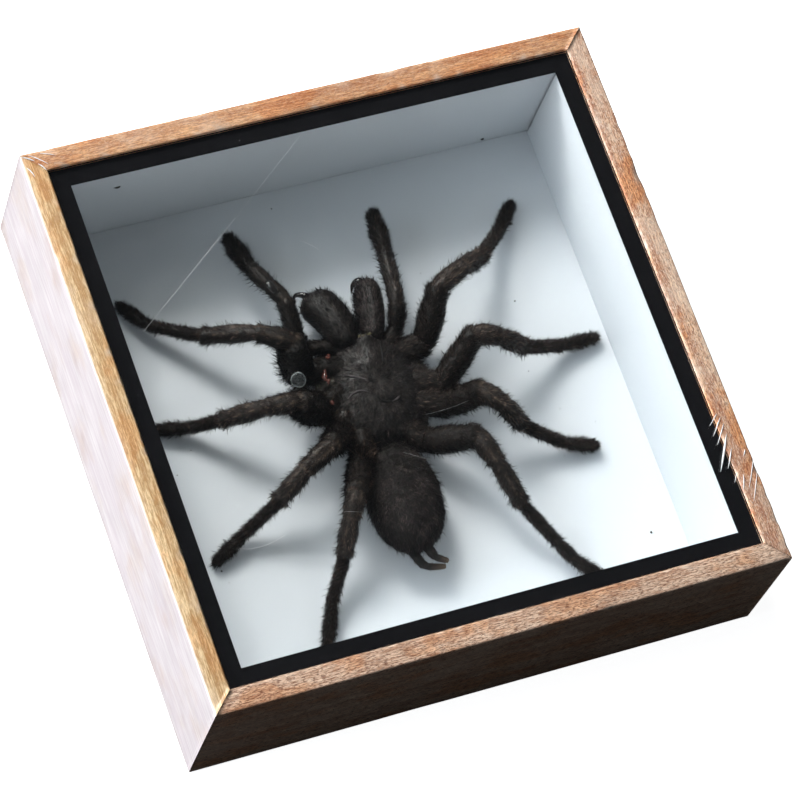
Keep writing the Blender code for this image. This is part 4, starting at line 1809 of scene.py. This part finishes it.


# %% [markdown]
# ## Folds on the carapace
# Drying has wrinkled the shield. A few thin pale folds show through the hair, and thin
# dark tubes paint shade into the pit in the middle and along the edges of the head. Each
# one is a slim tube laid along the shield.

# %% Pale folds and painted crease shade of the shield
PALE_FOLDS = (
    ((-7.6, 7.9), (-5.9, 6.7), (-3.9, 5.1), (-3.2, 4.4)),
    ((-8.6, 2.1), (-7.1, 2.7), (-5.3, 2.7), (-3.5, 1.4)),
    ((0.8, -1.8), (2.0, -1.5), (2.6, -1.2), (3.1, -0.9)),
    ((-5.3, 14.5), (-4.4, 15.2), (-3.4, 15.6), (-2.0, 15.5)),
)
SHADE_LINES = (
    ((-2.3, 0.1), (-1.6, -0.9), (-0.4, -1.6), (1.2, -1.6)),
    ((3.2, 14.0), (2.9, 12.0), (2.4, 9.8), (1.8, 7.6)),
    ((-9.6, 6.7), (-10.0, 4.8), (-10.0, 3.2), (-9.7, 1.5)),
)


def on_shield(x, y):
    """The height of the shield's upper side at this place."""
    points = carapace["points"][carapace["normals"][:, 2] > 0.1]
    nearest = np.argsort(np.hypot(points[:, 0] - x, points[:, 1] - y))[:3]
    return points[nearest, 2].mean()


def laid_on_shield(lines, above, thick):
    laid = []
    for line in lines:
        places = [np.array([x, y, on_shield(x, y) + above]) for x, y in line]
        laid.append(thin_tube(places, (0.4 * thick, thick, thick, 0.3 * thick), 10))
    return laid


add_joined("shield_folds", laid_on_shield(PALE_FOLDS, 0.16, 0.24), FOLD_SKIN)
# Dark tubes along the pit and the head's edges: painted shade.
add_joined("shield_shade_lines", laid_on_shield(SHADE_LINES, 0.18, 0.26), PAINTED_SHADE)


# %% [markdown]
# ## Eight legs and two palps
# One loop builds the legs and one the palps. The two front legs of the left side have a
# long fringe under the femur. Each limb starts where its line leaves the carapace. The
# left palp has one rubbed place that shines.

# %% Legs and palps
FRINGED = {"leg_left_1": 1.0, "leg_left_2": 0.5}
PALP_BARE = 0.35


def under_shield(places):
    return inside_egg(places, CARAPACE, 2.3, 0.7)


def add_limb(name, route, radii, seed, amount):
    form = limb_form(route, radii, STOUT_FEMUR.get(name, 1.0), seed, under_shield)
    bare = bare_skin(form, seed + 5) * (PALP_BARE if name in PALPS else 1.0)
    limb = add_form(f"{name}_skin", form, CUTICLE, [name])
    mark(limb, "bare", np.append(bare, [0, 0]))
    fringe, shade = FRINGED.get(name, 0.2), LIMB_SHADE.get(name, 0.0)
    parts = limb_hair(form, bare, 1000 + seed, fringe, amount, shade)
    if name in TUFTED:
        x, y = TUFTED[name]
        near = bell(np.hypot(form["points"][:, 0] - x, form["points"][:, 1] - y), 2.0)
        near = near * np.clip(form["top"] + 0.2, 0, 1) + 1e-9
        parts.append(grow_hair(form, "pale tuft", 500, 2000, 2.4 + 0 * near, near, 0.6))
    add_hair(f"{name}_hair", parts, LEG_HAIR)


for number, (name, route) in enumerate(LEGS.items()):
    add_limb(name, route, LEG_RADII, 50 + 7 * number, 1.0)
for number, (name, route) in enumerate(PALPS.items()):
    add_limb(name, route, PALP_RADII, 150 + 7 * number, 0.5)
add_bead("palp_left_gloss", (-18.1, 32.0, 13.9), (0.9, 1.8, 0.85), 111, GLOSSY, 160, 0.06)


# %% [markdown]
# ## A drop of glue
# A clear flat drop has dried on one knee. It is see-through with plain transmission. Its
# thin pale edge is a piece of its own: partly a milky dried rim, partly a painted highlight round it.

# %% Glue drop
DROP = {"at": (-21.5, 5.9, 19.65), "half": (1.65, 1.65, 0.7), "heading": 46, "pitch": 26}


def drop_material():
    values = {"Base_Color": (0.86, 0.90, 0.92, 1), "Roughness": 0.08, "IOR": 1.14}
    material, graph, shader = new_material("clear_glue", Transmission_Weight=0.985, **values)
    rough_surface(graph, shader, graph.noise(graph.place(), 900.0), 0.000008)
    return material


def dull(name, dark, light, rough):
    """A plain dull finish with two tones, for lint, crumbs, painted glints and the glue's rim."""
    material, graph, shader = new_material(name)
    place = graph.place()
    tone = graph.noise(place, 2500.0, 3.0)
    base = graph.blend(graph.spread(tone, 0.3, 0.7), (*dark, 1), (*light, 1))
    rough_map = graph.spread(tone, 0.3, 0.7, rough, rough + 0.15)
    connect(graph, shader, Base_Color=base, Roughness=rough_map)
    rough_surface(graph, shader, tone, 0.00002)
    return material


def sculpt_drop(points, spec):
    return points * (1 + 0.04 * ripple(points, 1.2, 61))[:, None]


drop = egg_form(DROP, plain_shape, 24, 36, sculpt_drop)
add_form("glue_bead", drop, drop_material(), ["glue_drop"])
# Pale grey edge: milky dried glue and a painted rim highlight.
MILKY_GLINT_EDGE = dull("milky_glint_edge", (0.09, 0.10, 0.10), (0.23, 0.24, 0.23), 0.35)
around = np.linspace(0, 2 * np.pi, 49)
reach = DROP["half"][0] * (1 + 0.03 * np.sin(3 * around + 1) + 0.02 * np.sin(5 * around))
edge = np.stack([reach * np.cos(around), reach * np.sin(around), 0 * around], 1)
edge = turned_into_place(edge, DROP)
rim = tube_form(edge, 0.11 + 0.03 * np.sin(2 * around), 8)
add_piece("glue_edge", rim["points"], [rim["quads"]], MILKY_GLINT_EDGE)


# %% [markdown]
# ## Lint, crumbs and painted glints
# A box that has been handled and packed carries small traces: a long fibre on the glass
# and crumbs on the liner. Short white streaks over two corners of the rim paint the
# glints that creased wrapping throws there. Each is a very thin closed tube or a small uneven bead.

# %% Where the traces lie
LAID_ON = 0.06
GLASS_TOP = glass_high[2] + LAID_ON
RIM_TOP = rail_high[2] + LAID_ON
GLINT_BOW = np.array([0.12, 0.08, 0.0])
CRUMBS = 26
CRUMB_SPREAD = 58
LINT = dull("lint", (0.60, 0.61, 0.62), (0.85, 0.86, 0.87), 0.6)
PAINTED_GLINT = dull("painted_glint", (0.86, 0.88, 0.90), (0.97, 0.98, 1.0), 0.25)
CRUMB = dull("crumb", (0.02, 0.018, 0.016), (0.09, 0.08, 0.07), 0.7)
# White streaks along the rim at two corners, as (start, end, size): painted glints of creased wrapping.
GLINT_STREAKS = (
    ((65.7, -32.2), (63.0, -34.6), 0.10),
    ((66.2, -33.2), (62.9, -37.2), 0.12),
    ((66.4, -34.9), (63.0, -39.5), 0.10),
    ((66.1, -37.5), (61.3, -45.9), 0.20),
    ((65.9, -41.1), (63.3, -45.6), 0.12),
    ((64.9, -46.9), (63.5, -49.3), 0.07),
    ((68.9, -42.2), (68.0, -43.7), 0.10),
    ((70.0, -44.8), (66.4, -51.3), 0.08),
    ((69.6, -48.2), (66.2, -54.7), 0.08),
    ((66.3, -47.8), (64.9, -51.5), 0.09),
    ((-69.6, 69.3), (-67.0, 67.6), 0.12),
    ((-68.0, 69.5), (-64.2, 66.2), 0.09),
    ((-66.5, 66.9), (-65.1, 64.8), 0.10),
    ((-69.3, 66.5), (-68.2, 63.9), 0.10),
    ((-65.3, 69.2), (-61.9, 67.9), 0.07),
)
FIBRES = (
    (0.04, ((-56.4, 21.0), (-46.5, 28.2), (-36.6, 35.5), (-26.7, 42.8))),
    (0.017, ((-26.7, 42.8), (-19.2, 48.4), (-11.7, 54.0), (-4.2, 59.6))),
    (0.05, ((-52.0, -34.2), (-49.5, -34.9), (-45.5, -34.9), (-41.2, -33.9))),
    (0.035, ((-14.0, 33.7), (-12.4, 32.4), (-10.9, 30.9), (-10.4, 30.1))),
    (0.013, ((-28.6, -32.0), (-26.5, -32.1), (-24.4, -32.6), (-22.2, -33.4))),
    (0.013, ((-8.5, -22.1), (-5.8, -23.7), (-3.1, -25.5), (-0.7, -27.5))),
    (0.013, ((-0.4, -14.7), (3.2, -14.7), (6.9, -14.5), (10.4, -14.0))),
)
print("crease_glints", len(GLINT_STREAKS), "fibres", len(FIBRES))


# %% Painted glints, fibres and crumbs
# Each streak is a thin white tube that paints a glint.
folds = []
for start, end, size in GLINT_STREAKS:
    start, end = np.array([*start, RIM_TOP]), np.array([*end, RIM_TOP])
    inner = [start * (1 - share) + end * share + GLINT_BOW for share in (0.35, 0.7)]
    places = [start, *inner, end]
    folds.append(thin_tube(places, (0.03, 1.35 * size, 1.1 * size, 0.03), 8))
add_joined("crease_glints", folds, PAINTED_GLINT)

threads = []
for size, places in FIBRES:
    places = [np.array([*place, GLASS_TOP]) for place in places]
    threads.append(thin_tube(places, (0.6 * size, size, size, 0.6 * size), 6))
add_joined("fibres", threads, LINT)

dice = np.random.default_rng(90)
crumbs = []
for number in range(CRUMBS):
    size = dice.uniform(0.10, 0.24)
    x, y = dice.uniform(-CRUMB_SPREAD, CRUMB_SPREAD, 2)
    half = (size, size * dice.uniform(0.7, 1.3), size * 0.6)
    crumbs.append(bead_form((x, y, 0.5 * size), half, dice.uniform(0, 180), 91 + number, 0.3))
wall_face = corners("liner_wall_top")[0][1]
crumbs.append(bead_form((-48.0, wall_face, 23.8), (0.3, 0.85, 0.28), 0, 120, 0.3))
crumbs.append(bead_form((48.9, wall_face, 1.6), (0.3, 0.45, 0.4), 0, 121, 0.3))
add_joined("crumbs", crumbs, CRUMB)


# %% [markdown]
# ## Floor, light and camera
# The box lies on a pale sheet. The key light stands beyond the top rail, so that rail
# shades the upper part of the liner, and it is big enough for soft shadows. A second
# light to its left fills those shadows a little, a wide cool one fills from the left,
# and a small one skims the left rail's outer face, which also has a painted glare. The
# other sides stay dark. A light's values are the way it stands, how far off, its size,
# its power and its colour.

# %% The floor
FLOOR_THROWN = (0.05, 0.045, 0.043, 1)
FLOOR_GLOW = 0.93
FLOOR_REACH = 3.0
FLOOR_GAP = 0.0002


def floor_paper():
    """White paper. It throws little light back, as dark table linen would, but looks white."""
    material, graph, shader = new_material("floor_paper", Roughness=0.9)
    seen = graph.add("ShaderNodeLightPath").outputs["Is Camera Ray"]
    paper = graph.grey(graph.spread(graph.noise(graph.place(), 6.0), 0.3, 0.7, 0.90, 0.93))
    connect(graph, shader, Base_Color=graph.blend(seen, FLOOR_THROWN, paper))
    shader.inputs["Emission Color"].default_value = (1, 1, 1, 1)
    connect(graph, shader, Emission_Strength=graph.math("MULTIPLY", seen, FLOOR_GLOW))
    return material


def add_floor():
    mesh = bpy.data.meshes.new("floor")
    square = [(x * FLOOR_REACH, y * FLOOR_REACH, 0) for x, y in ((-1, -1), (1, -1), (1, 1), (-1, 1))]
    mesh.from_pydata(square, [], [(0, 1, 2, 3)])
    mesh.materials.append(floor_paper())
    floor = bpy.data.objects.new("floor", mesh)
    floor.location.z = case_low.z - FLOOR_GAP
    bpy.context.scene.collection.objects.link(floor)


add_floor()


# %% Lights
centre = (case_low + case_high) / 2
LIGHTS = {
    "key": ((-0.30, 0.98, 0.97), 1.3, 0.42, 14.5, (1.0, 0.985, 0.955)),
    "between": ((-0.80, 0.72, 0.62), 1.3, 0.6, 6.0, (0.98, 0.985, 1.0)),
    "fill": ((-1.0, 0.22, 0.58), 1.3, 0.95, 8.6, (0.82, 0.92, 1.0)),
    "side": ((-0.9, 0.05, 0.10), 0.907, 0.3, 3.8, (1.0, 0.97, 0.97)),
}


def add_light(name, way, away, size, power, colour):
    """A soft disc light that faces the middle of the box."""
    light = bpy.data.lights.new(name, "AREA")
    light.shape = "DISK"
    light.size = size
    light.energy = power
    light.color = colour
    way = Vector(way).normalized()
    obj = bpy.data.objects.new(name, light)
    obj.location = centre + way * away
    obj.rotation_mode = "QUATERNION"
    obj.rotation_quaternion = (-way).to_track_quat("-Z", "Y")
    bpy.context.scene.collection.objects.link(obj)


for name, values in LIGHTS.items():
    add_light(name, *values)

world = bpy.data.worlds.new("studio")
world.use_nodes = True
sky = world.node_tree.nodes["Background"].inputs
sky["Color"].default_value = (0.78, 0.89, 1.0, 1)
sky["Strength"].default_value = 0.05
bpy.context.scene.world = world
bpy.context.scene.view_settings.view_transform = "Standard"

print("lights", sorted(LIGHTS))


# %% Camera
AZIMUTH = math.radians(-43.99)
ELEVATION = math.radians(63.88)
ROLL = math.radians(26.57)
DISTANCE = 1.0
AIM_OFF_CENTRE = Vector((1.72, -2.96, -0.36)) * MM

camera_data = bpy.data.cameras.new("camera")
camera_data.sensor_width = 36.0
camera_data.lens = 194.84
camera = bpy.data.objects.new("camera", camera_data)
level = math.cos(ELEVATION)
back = Vector((math.sin(AZIMUTH) * level, -math.cos(AZIMUTH) * level, math.sin(ELEVATION)))
camera.location = centre + AIM_OFF_CENTRE + back * DISTANCE
camera.rotation_mode = "QUATERNION"
camera.rotation_quaternion = (-back).to_track_quat("-Z", "Y") @ Quaternion((0, 0, 1), ROLL)
bpy.context.scene.collection.objects.link(camera)
bpy.context.scene.camera = camera
bpy.context.view_layer.update()
print("camera axes", [tuple(round(x, 3) for x in camera.matrix_world.col[k][:3]) for k in range(3)])
